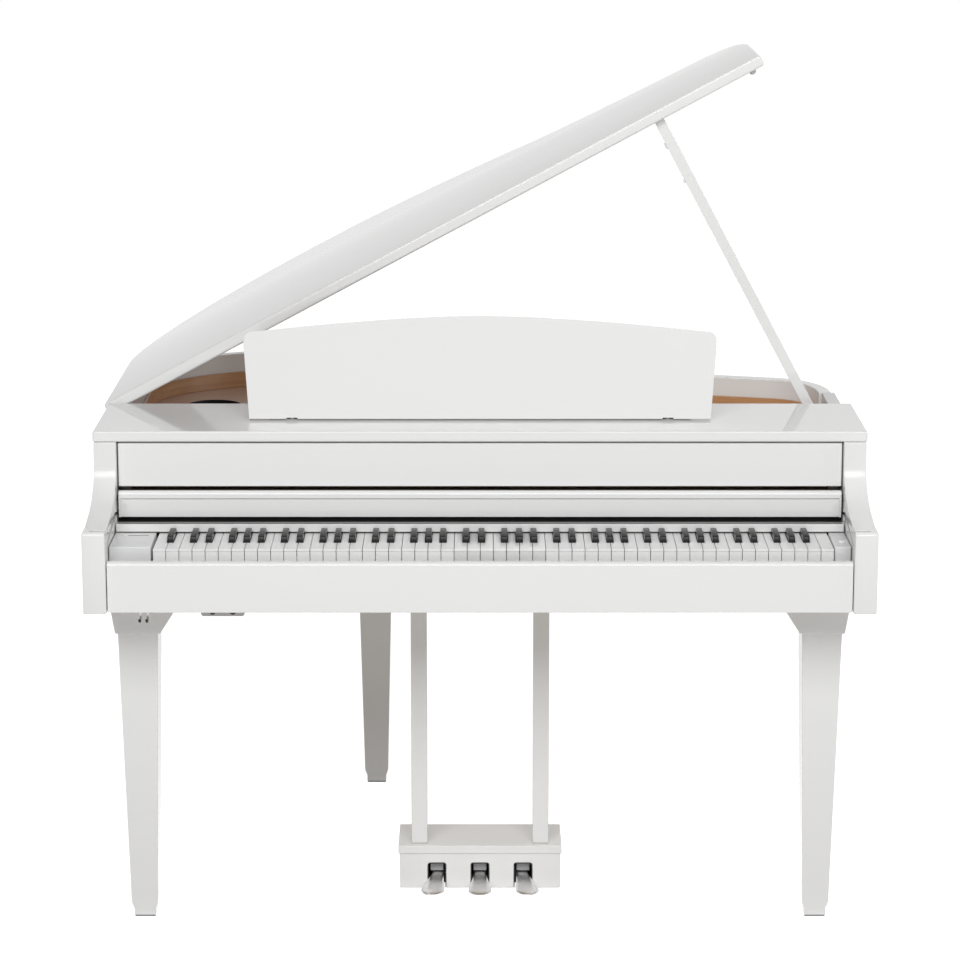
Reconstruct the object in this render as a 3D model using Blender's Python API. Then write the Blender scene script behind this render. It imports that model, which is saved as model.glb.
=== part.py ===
"""Digital grand piano: white polished case, raised lid on its stay, folding music rest,
arc-guided key cover, 88-key keyboard with a free middle octave, three pedals on a two-post lyre.

Every piece is drawn in piano coordinates, in metres: x to the player's right, d the depth
behind the front face of the cheek blocks, z above the floor.
"""
import math

import bmesh
import bpy
from mathutils import Matrix, Vector

# Overall size
DEPTH = 1.237
CHEEK_HALF = 0.715
SIDE_HALF = 0.709
ARM_HALF = 0.7145
INNER_HALF = 0.672
GAP = 0.0003

# Heights
KEYBED_BOTTOM = 0.637
KEYBED_TOP = 0.655
CASE_BOTTOM = 0.640
FLOOR_UNDER = 0.642
CASE_FLOOR = 0.654
SLIP_TOP = 0.729
KEY_TOP = 0.745
CHEEK_TOP = 0.781
DECK_TOP = 0.834
DECK_THICK = 0.012
BAND_TOP = 0.862
RIM_TOP = 0.9055
PANEL_BOTTOM = 0.827
ARM_TOP = 0.9117
BOARD_BOTTOM = 0.912
BOARD_TOP = 0.930

# Depths
BOARD_HALF = 0.714
BOARD_FRONT = 0.204
BOARD_REAR = 0.477
CHEEK_REAR = 0.190
COMPARTMENT_REAR = 0.4745
SIDE_REAR = {-1: 0.935, 1: 0.715}
WALL = 0.025

# Arm of a side wall: quarter of an ellipse from its nose up to the front of the wall
ARM_NOSE = 0.012
ARM_LIFT = 0.0022
ARM_REACH = 0.184
ARM_DROP = 0.0845
ARM_STEPS = 10

# Speakers, as (x, d), and the holes over them
SPEAKERS = ((-0.552, 0.950), (0.450, 0.700))
SPEAKER_HOLE = 0.0575

# Lid, hinged on the bass side and held open by the stay
LID_OPEN = math.radians(28.2)
LID_THICK = 0.022
LID_ROUND = 0.003
LID_FRONT = 0.479
LID_LEFT = -0.716
LID_RIGHT = 0.705
LID_UNDER = BOARD_TOP - LID_THICK
LID_AXIS = (-0.714, LID_UNDER)
STAY_PIVOT = (0.6577, 0.880)
STAY_LENGTH = 0.6726
STAY_DEPTH = 0.505

# Music rest, its line of hinges, and the two props behind it
REST_AXIS = (0.3174, 0.934)
REST_LEAN = math.radians(14)
REST_HEIGHT = 0.1897
REST_FOOT = 0.0035
REST_THICK = 0.012
REST_FACE = 0.0018
PROP_REACH = 0.070

# Key cover, which swings on arc grooves about a centre far below the keys
COVER_CENTRE = (0.205, 0.200)
COVER_RADIUS = 0.600
COVER_THICK = 0.011
GUIDE_RADIUS = 0.577
PIN_RADIUS = 0.0032
PIN_END = 0.6770
GROOVE_HALF = 0.0042
GROOVE_DEEP = 0.0065

# Keyboard
WHITE_PITCH = 0.0237
KEYS_LEFT = -0.5920
KEY_FRONT = 0.044
NOTCH_FRONT = 0.0960
KEY_REAR = 0.285
KEY_PIVOT = (0.276, 0.7229)
KEY_GAP = 0.0010
KEY_BOTTOM = 0.7230
FRAME_TOP = 0.7227
STICK_TOP = 0.7466
RIDGE = 0.0026
BLACK_WIDTH = 0.0110
BLACK_TOP = 0.7565
BLACK_FRONT = 0.0993
BLACK_REAR = 0.166
WHITE_COUNT = 52
FREE_OCTAVE_START = 23
# The sharps of one octave: the white key to their left, counted from C, and their offset
SHARPS = {0: -0.0023, 1: 0.0023, 3: -0.0030, 4: 0.0, 5: 0.0030}
SHARP_NAMES = {0: "cs4", 1: "ds4", 3: "fs4", 4: "gs4", 5: "as4"}
WHITE_NAMES = ("c4", "d4", "e4", "f4", "g4", "a4", "b4")

# Controls on the end blocks
BUTTON_X, BUTTON_D, BUTTON_R = 0.6590, 0.094, 0.0072
SLOT_D, SLOT_LEFT, SLOT_RIGHT = 0.145, -0.658, -0.608

# Sockets
JACKS_X, JACKS_Z = (-0.486, -0.449), 0.6265
JACK_RADIUS = 0.0034
INLET_X = 0.420

# Pedals and their box
PEDAL_AXIS = (0.410, 0.0275)
PEDAL_LENGTH = 0.199
PEDAL_THICK = 0.009
BOX_FRONT = 0.321
BOX_REAR = 0.448
BOX_TOP = 0.090
BOX_BOTTOM = 0.003
SLOT_X = 0.0835
PEDALS = {"soft_pedal": (-0.0727, -4.9), "sostenuto_pedal": (0, 0), "damper_pedal": (0.0727, 4.9)}
POST_X = 0.117
POST_HALF = 0.0155
POST_FRONT, POST_REAR = 0.335, 0.366
BOX_HALF = 0.157
BOX_LEDGE = 0.0025
BOX_PLATE = 0.0725


def lid_left_reach():
    """Furthest point to the left: the rounded top edge of the spine once the lid is raised."""
    across, up = LID_LEFT + LID_ROUND - LID_AXIS[0], BOARD_TOP - LID_ROUND - LID_AXIS[1]
    return LID_AXIS[0] + across * math.cos(LID_OPEN) - up * math.sin(LID_OPEN) - LID_ROUND


X_CENTRE = (CHEEK_HALF + lid_left_reach()) / 2

WHITE_LACQUER = ((0.86, 0.86, 0.85), 0.08, 0.0)
KEY_WHITE = ((0.80, 0.80, 0.79), 0.30, 0.0)
KEY_BLACK = ((0.02, 0.02, 0.02), 0.35, 0.0)
PLAIN_WOOD = ((0.62, 0.47, 0.32), 0.55, 0.0)
WARM_WOOD = ((0.50, 0.27, 0.12), 0.30, 0.0)
CHROME = ((0.80, 0.80, 0.80), 0.08, 1.0)
STEEL = ((0.45, 0.45, 0.45), 0.35, 1.0)
WHITE_PLASTIC = ((0.78, 0.78, 0.78), 0.35, 0.0)
GREY_PLASTIC = ((0.42, 0.42, 0.42), 0.45, 0.0)
DARK_PLASTIC = ((0.03, 0.03, 0.03), 0.50, 0.0)
GREY_RUBBER = ((0.35, 0.35, 0.35), 0.70, 0.0)
BOARD_GREEN = ((0.03, 0.18, 0.08), 0.50, 0.0)


def clear_scene():
    for obj in list(bpy.data.objects):
        bpy.data.objects.remove(obj, do_unlink=True)


def world(x, d, z):
    return Vector((x - X_CENTRE, d - DEPTH / 2, z))


def finish_material(node, finish):
    colour, roughness, metallic = finish
    material = bpy.data.materials.new(node + "_finish")
    material.use_nodes = True
    shader = material.node_tree.nodes["Principled BSDF"]
    shader.inputs["Base Color"].default_value = (*colour, 1)
    shader.inputs["Roughness"].default_value = roughness
    shader.inputs["Metallic"].default_value = metallic
    material.diffuse_color = (*colour, 1)
    return material


def add_part(node, bm, finish, origin=(0, 0, 0), turn=(0, 0, 0), parent=None, local=False):
    """Make an object from a bmesh in piano coordinates, with its origin at a given point.

    With local set, the bmesh is already drawn about that origin.
    """
    if not local:
        bmesh.ops.translate(bm, vec=-Vector(origin), verts=bm.verts)
    bmesh.ops.recalc_face_normals(bm, faces=bm.faces)
    mesh = bpy.data.meshes.new(node)
    bm.to_mesh(mesh)
    bm.free()
    mesh.materials.append(finish_material(node, finish))
    obj = bpy.data.objects.new(node, mesh)
    bpy.context.scene.collection.objects.link(obj)
    if parent is None:
        obj.location = world(*origin)
    else:
        obj.parent = parent
        obj.location = origin
    obj.rotation_euler = turn
    return obj


def extrude_outline(bm, points, axis, low, high):
    """Add a prism: the outline lies square to the axis, in the other two axes' order."""
    slot = "xyz".index(axis)
    rings = []
    for level in (low, high):
        ring = []
        for point in points:
            place = list(point)
            place.insert(slot, level)
            ring.append(bm.verts.new(place))
        rings.append(ring)
    count = len(points)
    bm.faces.new(rings[0])
    bm.faces.new(rings[1])
    for i in range(count):
        j = (i + 1) % count
        bm.faces.new((rings[0][i], rings[0][j], rings[1][j], rings[1][i]))


def prism(points, axis, low, high):
    bm = bmesh.new()
    extrude_outline(bm, points, axis, low, high)
    return bm


def block(x0, x1, d0, d1, z0, z1):
    return prism([(x0, d0), (x1, d0), (x1, d1), (x0, d1)], "z", z0, z1)


def add_block(bm, x0, x1, d0, d1, z0, z1):
    extrude_outline(bm, [(x0, d0), (x1, d0), (x1, d1), (x0, d1)], "z", z0, z1)


def loft(sections):
    """Stack rectangles (z, x0, x1, d0, d1) into one solid."""
    bm = bmesh.new()
    rings = []
    for z, x0, x1, d0, d1 in sections:
        rings.append([bm.verts.new(p) for p in ((x0, d0, z), (x1, d0, z), (x1, d1, z), (x0, d1, z))])
    bm.faces.new(rings[0])
    bm.faces.new(rings[-1])
    for lower, upper in zip(rings, rings[1:]):
        for i in range(4):
            j = (i + 1) % 4
            bm.faces.new((lower[i], lower[j], upper[j], upper[i]))
    return bm


def turned(bm, profile, centre, steps=24):
    """Add a turned solid about a vertical line; the profile runs (radius, z) from axis to axis."""
    rings = []
    for radius, z in profile:
        if radius == 0:
            rings.append([bm.verts.new((centre[0], centre[1], z))])
            continue
        angles = [2 * math.pi * i / steps for i in range(steps)]
        rings.append([bm.verts.new((centre[0] + radius * math.cos(a), centre[1] + radius * math.sin(a), z))
                      for a in angles])
    for upper, lower in zip(rings, rings[1:]):
        for i in range(steps):
            j = (i + 1) % steps
            face = [upper[i % len(upper)], upper[j % len(upper)], lower[j % len(lower)], lower[i % len(lower)]]
            bm.faces.new(list(dict.fromkeys(face)))


def add_rod(bm, start, end, radius, sides=12):
    """Add a closed cylinder between two points."""
    start, end = Vector(start), Vector(end)
    along = end - start
    across = along.orthogonal().normalized()
    other = along.normalized().cross(across)
    rings = []
    for centre in (start, end):
        ring = []
        for i in range(sides):
            a = 2 * math.pi * i / sides
            ring.append(bm.verts.new(centre + radius * (math.cos(a) * across + math.sin(a) * other)))
        rings.append(ring)
    bm.faces.new(rings[0])
    bm.faces.new(rings[1])
    for i in range(sides):
        j = (i + 1) % sides
        bm.faces.new((rings[0][i], rings[0][j], rings[1][j], rings[1][i]))


def bezier(p0, p1, p2, p3, steps):
    """Points along a cubic curve, without its last point."""
    points = []
    for i in range(steps):
        t = i / steps
        s = 1 - t
        weights = (s ** 3, 3 * s * s * t, 3 * s * t * t, t ** 3)
        points.append(tuple(sum(w * p[k] for w, p in zip(weights, (p0, p1, p2, p3))) for k in (0, 1)))
    return points


def arc(centre, radius, start, end, steps):
    """Points on a circle from one angle to another, both ends included, in degrees."""
    points = []
    for i in range(steps + 1):
        a = math.radians(start + (end - start) * i / steps)
        points.append((centre[0] + radius * math.cos(a), centre[1] + radius * math.sin(a)))
    return points


def offset_path(path, distance):
    """Shift an open path to its right-hand side, so that a path run clockwise shrinks inwards."""
    shifted = []
    for i, point in enumerate(path):
        before = path[max(i - 1, 0)]
        after = path[min(i + 1, len(path) - 1)]
        along = (Vector(after) - Vector(before)).normalized()
        shifted.append((point[0] + distance * along.y, point[1] - distance * along.x))
    return shifted


def evaluate_in_place(obj):
    """Replace an object's mesh by its mesh with the modifiers applied."""
    bpy.context.view_layer.update()
    graph = bpy.context.evaluated_depsgraph_get()
    mesh = bpy.data.meshes.new_from_object(obj.evaluated_get(graph))
    obj.modifiers.clear()
    obj.data = mesh


def combine(obj, bm, operation):
    """Cut a tool's shape out of an object, or join it on; the tool is in the object's own axes."""
    bmesh.ops.recalc_face_normals(bm, faces=bm.faces)
    mesh = bpy.data.meshes.new("tool")
    bm.to_mesh(mesh)
    bm.free()
    tool = bpy.data.objects.new("tool", mesh)
    bpy.context.scene.collection.objects.link(tool)
    bpy.context.view_layer.update()
    tool.matrix_world = obj.matrix_world
    modifier = obj.modifiers.new("combine", "BOOLEAN")
    modifier.operation = operation
    modifier.object = tool
    evaluate_in_place(obj)
    bpy.data.objects.remove(tool, do_unlink=True)


def cut(obj, bm):
    combine(obj, bm, "DIFFERENCE")


def join(obj, bm):
    combine(obj, bm, "UNION")


def soften(obj, width, segments=2, angle=40):
    """Round the piece's sharp edges."""
    modifier = obj.modifiers.new("rounded_edges", "BEVEL")
    modifier.width = width
    modifier.segments = segments
    modifier.limit_method = "ANGLE"
    modifier.angle_limit = math.radians(angle)


def shade_round(obj, angle=35):
    obj.data.shade_smooth()
    obj.data.set_sharp_from_angle(angle=math.radians(angle))


def rim_path():
    """Outer line of the curved case wall: tail, bent side and treble corner, clockwise."""
    path = bezier((-0.709, SIDE_REAR[-1]), (-0.709, 1.085), (-0.555, 1.223), (-0.310, 1.223), 9)
    path += bezier((-0.310, 1.223), (-0.125, 1.223), (0.055, 1.128), (0.193, 1.040), 7)
    path += bezier((0.193, 1.040), (0.283, 0.967), (0.425, 0.929), (0.606, 0.880), 7)
    path += bezier((0.606, 0.880), (0.664, 0.861), (0.703, 0.808), (0.703, SIDE_REAR[1]), 7)
    path.append((0.703, SIDE_REAR[1]))
    return path


def lid_path():
    """Outline of the lid, clockwise from its front left corner."""
    path = [(LID_LEFT, LID_FRONT)]
    path += bezier((LID_LEFT, 0.930), (LID_LEFT, 1.095), (-0.560, DEPTH), (-0.310, DEPTH), 10)
    path += bezier((-0.310, DEPTH), (-0.120, DEPTH), (0.060, 1.140), (0.200, 1.050), 8)
    path += bezier((0.200, 1.050), (0.290, 0.975), (0.430, 0.940), (0.610, 0.893), 8)
    path += bezier((0.610, 0.893), (0.668, 0.874), (LID_RIGHT, 0.820), (LID_RIGHT, 0.720), 8)
    path += [(LID_RIGHT, 0.720), (LID_RIGHT, LID_FRONT)]
    return path


def well_outline(front, inset):
    """Plan of what lies between the case walls behind the given depth."""
    inner = offset_path(rim_path(), WALL + inset)
    left = -(SIDE_HALF - WALL - inset)
    return [(left, front)] + [(max(x, left), d) for x, d in inner] + [(inner[-1][0], front)]


def groove(side, radius, start, end, steps=14):
    """Arc groove for a guide pin in the inner face of a cheek, as a cutter."""
    outer = arc(COVER_CENTRE, radius + GROOVE_HALF, start, end, steps)
    inner = arc(COVER_CENTRE, radius - GROOVE_HALF, end, start, steps)
    inside, outside = side * (INNER_HALF - 0.002), side * (INNER_HALF + GROOVE_DEEP)
    return prism(outer + inner, "x", min(inside, outside), max(inside, outside))


def cheek_block(side):
    """Block beside the keys that closes the front of the case."""
    x0, x1 = sorted((side * INNER_HALF, side * CHEEK_HALF))
    name = "left_cheek_block" if side < 0 else "right_cheek_block"
    bm = block(x0, x1, 0, CHEEK_REAR, KEYBED_BOTTOM, CHEEK_TOP)
    obj = add_part(name, bm, WHITE_LACQUER)
    soften(obj, 0.0022)
    evaluate_in_place(obj)
    cut(obj, groove(side, GUIDE_RADIUS, 89, 107.6))


def arm_line():
    """Upper line of the arm in side view, from its nose up to the front of the side wall."""
    low = CHEEK_TOP + GAP + ARM_LIFT
    angles = [math.pi / 2 * i / ARM_STEPS for i in range(ARM_STEPS + 1)]
    return [(ARM_NOSE + ARM_REACH * math.sin(a), low + ARM_DROP * (1 - math.cos(a))) for a in angles]


def side_profile(side):
    """Side wall in side view: straight back, arm that sweeps down to the cheek block."""
    rear = SIDE_REAR[side]
    line = arm_line()
    seat = CHEEK_TOP + GAP
    points = [(CHEEK_REAR + GAP, CASE_BOTTOM), (CHEEK_REAR + GAP, seat), (line[0][0], seat)] + line
    points += [(line[-1][0], ARM_TOP), (BOARD_REAR, ARM_TOP), (BOARD_REAR, RIM_TOP)]
    points += [(rear, RIM_TOP), (rear, CASE_BOTTOM)]
    return points


def arm_shoulder(side):
    """Tool for the slope along the arm's outer edge, which widens from nothing towards the nose."""
    widest, slope, above = 0.0175, 0.35, 0.02
    line = arm_line()[:7]
    end = line[-1][0]
    bm = bmesh.new()
    rings = []
    for d, z in [(-0.002, line[0][1])] + line:
        edge = ARM_HALF - widest * (end - d) / end
        inner, outer = edge - 0.003, ARM_HALF + 0.0035
        section = [(inner, z + above), (inner, z + slope * (edge - inner)), (outer, z - slope * (outer - edge)),
                   (outer, z + above)]
        rings.append([bm.verts.new((side * x, d, height)) for x, height in section])
    bm.faces.new(rings[0])
    bm.faces.new(rings[-1])
    for one, other in zip(rings, rings[1:]):
        for i in range(4):
            j = (i + 1) % 4
            bm.faces.new((one[i], one[j], other[j], other[i]))
    return bm


def side_wall(side):
    """Straight side of the case with its arm, thinner behind the key compartment."""
    x0, x1 = sorted((side * INNER_HALF, side * ARM_HALF))
    name = "left_side" if side < 0 else "right_side"
    obj = add_part(name, prism(side_profile(side), "x", x0, x1), WHITE_LACQUER)
    well = sorted((side * (INNER_HALF - 0.01), side * (SIDE_HALF - WALL)))
    cut(obj, block(well[0], well[1], COMPARTMENT_REAR, 1.0, 0.6, 1.0))
    beyond, flare_start, flare_end = side * 0.72, 0.200, 0.128
    outside = [(beyond, 1.0), (side * SIDE_HALF, 1.0), (side * SIDE_HALF, flare_start),
               (side * (ARM_HALF + 0.0002), flare_end), (beyond, flare_end)]
    cut(obj, prism(outside, "z", 0.6, 1.0))
    soften(obj, 0.0012, segments=1)
    evaluate_in_place(obj)
    cut(obj, arm_shoulder(side))
    cut(obj, groove(side, GUIDE_RADIUS, 86.5, 91.6))
    cut(obj, groove(side, COVER_RADIUS, 70.5, 91.2))


def case_rim():
    """Bent wall of the case, from the bass side round the tail to the treble side."""
    outer = rim_path()
    inner = offset_path(outer, WALL)
    inner[0] = (-(SIDE_HALF - WALL), outer[0][1])
    inner[-1] = (outer[-1][0] - WALL, outer[-1][1])
    start = SIDE_REAR[-1] + GAP
    end = SIDE_REAR[1] + GAP
    outer[0], inner[0] = (outer[0][0], start), (inner[0][0], start)
    outer[-1], inner[-1] = (outer[-1][0], end), (inner[-1][0], end)
    obj = add_part("rim", prism(outer + inner[::-1], "z", CASE_BOTTOM, RIM_TOP), WHITE_LACQUER)
    soften(obj, 0.0012, segments=1)


def inner_rim_band():
    """Veneered strip that lines the foot of the case wall above the deck."""
    path = well_outline(0.4955, GAP)
    thickness = 0.005
    inner = offset_path(path, thickness)
    inner[0] = (path[0][0] + thickness, path[0][1])
    inner[-1] = (path[-1][0] - thickness, path[-1][1])
    add_part("inner_rim_band", prism(path + inner[::-1], "z", DECK_TOP + GAP, BAND_TOP), WARM_WOOD)


def deck():
    """Sound deck inside the case, cut out over the two speakers."""
    obj = add_part("deck", prism(well_outline(0.4925, GAP), "z", DECK_TOP - DECK_THICK, DECK_TOP), WARM_WOOD)
    for x, d in SPEAKERS:
        bm = bmesh.new()
        add_rod(bm, (x, d, 0.80), (x, d, 0.85), SPEAKER_HOLE, 32)
        cut(obj, bm)


def speaker(node, x, d):
    """Full-range driver hung below the deck: flange, cone, basket and magnet in one turned piece."""
    bm = bmesh.new()
    top = DECK_TOP - DECK_THICK - GAP
    profile = [(0, top - 0.012), (0.016, top - 0.016), (0.050, top - 0.001), (0.056, top - 0.002), (0.058, top),
               (0.066, top), (0.066, top - 0.003), (0.058, top - 0.003), (0.042, top - 0.040),
               (0.042, top - 0.066), (0, top - 0.066)]
    turned(bm, profile, (x, d), 28)
    shade_round(add_part(node, bm, DARK_PLASTIC))


def case_boards():
    """Keybed, bottom board and the cross wall behind the key compartment."""
    inside = INNER_HALF - GAP
    bm = block(-inside, inside, 0.0265, COMPARTMENT_REAR - GAP, KEYBED_BOTTOM, KEYBED_TOP)
    soften(add_part("keybed", bm, PLAIN_WOOD), 0.001, segments=1)
    add_part("case_bottom", prism(well_outline(0.4762, GAP), "z", FLOOR_UNDER, CASE_FLOOR), PLAIN_WOOD)
    wall = SIDE_HALF - WALL - GAP
    add_part("cross_wall", block(-wall, wall, 0.4797, 0.4917, CASE_FLOOR + GAP, 0.900), PLAIN_WOOD)


def key_slip():
    """Rail in front of the keys, with a rounded top edge."""
    x = INNER_HALF - GAP
    front, rear, r = 0.008, 0.0262, 0.007
    points = [(front, KEYBED_BOTTOM + 0.001), (rear, KEYBED_BOTTOM + 0.001), (rear, SLIP_TOP - 0.002),
              (rear - 0.002, SLIP_TOP)]
    points += arc((front + r, SLIP_TOP - r), r, 90, 180, 5)
    add_part("key_slip", prism(points, "x", -x, x), WHITE_LACQUER)


def end_block(side, inner_x):
    """Block between the last key and the cheek; the left one is the wider."""
    x0, x1 = sorted((side * (INNER_HALF - GAP), inner_x))
    name = "left_end_block" if side < 0 else "right_end_block"
    rear, r = 0.1680, 0.010
    points = [(KEY_FRONT, KEYBED_TOP + GAP), (rear, KEYBED_TOP + GAP), (rear, KEY_TOP)]
    points += arc((KEY_FRONT + r, KEY_TOP - r), r, 90, 180, 5)
    return add_part(name, prism(points, "x", x0, x1), WHITE_PLASTIC)


def controls():
    """End blocks with the power button in its well and the volume slider in its slot."""
    right = end_block(1, 0.6425)
    bm = bmesh.new()
    add_rod(bm, (BUTTON_X, BUTTON_D, KEY_TOP - 0.010), (BUTTON_X, BUTTON_D, KEY_TOP + 0.01), BUTTON_R + 0.0006, 24)
    cut(right, bm)
    bm = bmesh.new()
    top, bottom = KEY_TOP + 0.0032, KEY_TOP - 0.006
    dome = [(0, top), (BUTTON_R * 0.45, top - 0.0005), (BUTTON_R * 0.8, top - 0.0016), (BUTTON_R, top - 0.0034),
            (BUTTON_R, bottom), (0, bottom)]
    turned(bm, dome, (BUTTON_X, BUTTON_D), 24)
    button = add_part("power_button", bm, WHITE_PLASTIC, origin=(BUTTON_X, BUTTON_D, bottom))
    shade_round(button)
    left = end_block(-1, -0.5965)
    cut(left, block(SLOT_LEFT, SLOT_RIGHT, SLOT_D - 0.0012, SLOT_D + 0.0012, KEY_TOP - 0.006, KEY_TOP + 0.01))
    start = SLOT_LEFT + 0.007
    bm = loft([(KEY_TOP - 0.005, start - 0.004, start + 0.004, SLOT_D - 0.0008, SLOT_D + 0.0008),
               (KEY_TOP + GAP, start - 0.004, start + 0.004, SLOT_D - 0.0008, SLOT_D + 0.0008),
               (KEY_TOP + GAP, start - 0.005, start + 0.005, SLOT_D - 0.0035, SLOT_D + 0.0035),
               (KEY_TOP + 0.0022, start - 0.0042, start + 0.0042, SLOT_D - 0.0026, SLOT_D + 0.0026)])
    add_part("volume_slider", bm, WHITE_PLASTIC, origin=(start, SLOT_D, KEY_TOP))


def front_panels():
    """Name panel under the top board, and the rail over the backs of the keys."""
    panel = add_part("name_panel", block(-0.668, 0.668, 0.210, 0.228, PANEL_BOTTOM, ARM_TOP), WHITE_LACQUER)
    soften(panel, 0.0015)
    x = INNER_HALF - GAP
    rail = add_part("key_rail", block(-x, x, 0.1685, 0.1845, 0.7475, 0.7640), WHITE_LACQUER)
    soften(rail, 0.0020)


def top_board():
    """Fixed board in front of the lid; it carries the music rest."""
    bm = block(-BOARD_HALF, BOARD_HALF, BOARD_FRONT, BOARD_REAR, BOARD_BOTTOM, BOARD_TOP)
    soften(add_part("top_board", bm, WHITE_LACQUER), 0.0030, segments=3)


def key_cover():
    """Cover board bent to the arc of its grooves, and the front lip that the player pulls."""
    half = COVER_THICK / 2
    front, rear = 89.2, 72.2
    board = arc(COVER_CENTRE, COVER_RADIUS + half, front, rear, 12)
    board += arc(COVER_CENTRE, COVER_RADIUS - half, rear, front, 12)
    bm = prism(board, "x", -0.666, 0.666)
    centre = (0, *COVER_CENTRE)
    cover = add_part("key_cover", bm, WHITE_LACQUER, origin=centre)
    pin = arc(COVER_CENTRE, COVER_RADIUS, 73.4, 73.4, 1)[0]
    bm = bmesh.new()
    for side in (-1, 1):
        add_rod(bm, (side * 0.660, pin[0], pin[1]), (side * PIN_END, pin[0], pin[1]), PIN_RADIUS)
    bmesh.ops.translate(bm, vec=-Vector(centre), verts=bm.verts)
    join(cover, bm)
    shade_round(cover)

    face, back, bottom, top = 0.1960, 0.2130, 0.7712, 0.8200
    step, rebate = 0.8055, 0.0035
    points = [(face + rebate, bottom), (back, bottom), (back, top - 0.003), (back - 0.003, top)]
    points += arc((face + 0.007, top - 0.007), 0.007, 90, 180, 5)
    points += [(face, step + 0.002), (face + 0.001, step), (face + rebate, step - 0.001)]
    lip = add_part("key_cover_lip", prism(points, "x", -0.6685, 0.6685), WHITE_LACQUER, origin=centre)
    pin = arc(COVER_CENTRE, GUIDE_RADIUS, 89.8, 89.8, 1)[0]
    bm = bmesh.new()
    for side in (-1, 1):
        add_rod(bm, (side * 0.660, pin[0], pin[1]), (side * PIN_END, pin[0], pin[1]), PIN_RADIUS)
    bmesh.ops.translate(bm, vec=-Vector(centre), verts=bm.verts)
    join(lip, bm)


def lid_assembly():
    """Lid, its continuous hinge, the bumper under its treble end."""
    axis = (LID_AXIS[0], 0, LID_AXIS[1])
    turn = (0, -LID_OPEN, 0)
    lid = add_part("lid", prism(lid_path(), "z", LID_UNDER, BOARD_TOP), WHITE_LACQUER, axis, turn)
    soften(lid, LID_ROUND, segments=2, angle=50)
    evaluate_in_place(lid)
    front, rear = 0.520, 0.900
    bm = bmesh.new()
    add_rod(bm, (0, front - 0.001, 0), (0, rear + 0.001, 0), 0.0052, 16)
    cut(lid, bm)
    knuckle, pin = 0.0042, 0.0018
    lengths = [front + (rear - front) * i / 5 for i in range(6)]

    case_leaf = add_part("lid_hinge", block(-0.7108, -0.7093, front, rear, 0.872, 0.9058), STEEL, axis)
    for i in (0, 2, 4):
        bm = bmesh.new()
        add_rod(bm, (0, lengths[i], 0), (0, lengths[i + 1] - 0.0005, 0), knuckle)
        join(case_leaf, bm)
    bm = bmesh.new()
    add_rod(bm, (0, front + 0.002, 0), (0, rear - 0.002, 0), pin, 10)
    join(case_leaf, bm)
    for i in (1, 3):
        bm = bmesh.new()
        add_block(bm, -0.001, 0.006, lengths[i] - 0.0006, lengths[i + 1] + 0.0003, -0.010, -0.0015)
        cut(case_leaf, bm)

    bm = block(0.0025, 0.026, front, rear, -0.0018, -GAP)
    lid_leaf = add_part("lid_hinge_leaf", bm, STEEL, parent=lid, local=True)
    for i in (1, 3):
        bm = bmesh.new()
        add_rod(bm, (0, lengths[i] + 0.0002, 0), (0, lengths[i + 1] - 0.0007, 0), knuckle)
        join(lid_leaf, bm)
        bm = bmesh.new()
        add_rod(bm, (0, lengths[i] - 0.01, 0), (0, lengths[i + 1] + 0.01, 0), pin + 0.0003, 10)
        cut(lid_leaf, bm)
    for i in (0, 2, 4):
        bm = bmesh.new()
        add_block(bm, -0.001, 0.0048, lengths[i] - 0.0006, lengths[i + 1] + 0.0001, -0.006, 0.006)
        cut(lid_leaf, bm)

    bm = bmesh.new()
    radius, height = 0.0085, 0.0022
    dome = [(0, -height)] + [(radius * math.sin(a), -height + 0.0016 * (1 - math.cos(a)))
                             for a in (0.4, 0.8, 1.2, math.pi / 2)] + [(radius, -GAP), (0, -GAP)]
    turned(bm, dome, (0.680 - LID_AXIS[0], 0.497), 20)
    shade_round(add_part("lid_bumper", bm, GREY_RUBBER, parent=lid, local=True))


def lid_stay():
    """Flat wooden stay that holds the lid up, on a pin in a forked bracket."""
    half, width = 0.006, 0.0095
    points = arc((0, 0), width, 180, 360, 10)
    points += [(width, STAY_LENGTH - 0.003), (width - 0.003, STAY_LENGTH),
               (-width + 0.003, STAY_LENGTH), (-width, STAY_LENGTH - 0.003)]
    pivot = (STAY_PIVOT[0], STAY_DEPTH, STAY_PIVOT[1])
    stay = add_part("lid_stay", prism(points, "y", -half, half), WHITE_LACQUER, pivot, (0, -LID_OPEN, 0), local=True)
    bm = bmesh.new()
    add_rod(bm, (0, -0.02, 0), (0, 0.02, 0), 0.0038, 16)
    cut(stay, bm)

    x, d, z = pivot
    plate = SIDE_HALF - WALL - GAP
    bracket = add_part("stay_bracket", block(plate - 0.003, plate, d - 0.013, d + 0.016, z - 0.0135, z + 0.018), STEEL)
    for low in (d - 0.0095, d + 0.0063):
        ear = arc((x, z), 0.009, 90, 270, 8)
        ear += [(plate - 0.001, z - 0.009), (plate - 0.001, z + 0.009)]
        join(bracket, prism(ear, "y", low, low + 0.0032))
    bm = bmesh.new()
    add_rod(bm, (x, d - 0.0090, z), (x, d + 0.0090, z), 0.0035, 16)
    join(bracket, bm)


def rest_outline():
    """Front view of the music rest: sides that spread upwards, round shoulders, bowed top."""
    low, wide, shoulder, r = 0.4325, 0.4435, 0.1447, 0.016
    height = REST_HEIGHT
    top = [(wide - r - 0.006, height - 0.041), (0.270, height - 0.0125), (0.120, height)]
    corner = arc((wide - r, shoulder), r, 0, 68, 4)
    right = [(low, -REST_FOOT), (wide, shoulder - 0.012)] + corner
    right += bezier(corner[-1], top[1], top[2], (0, height), 10)[1:]
    return right + [(0, height)] + [(-x, z) for x, z in right[::-1]]


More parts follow.
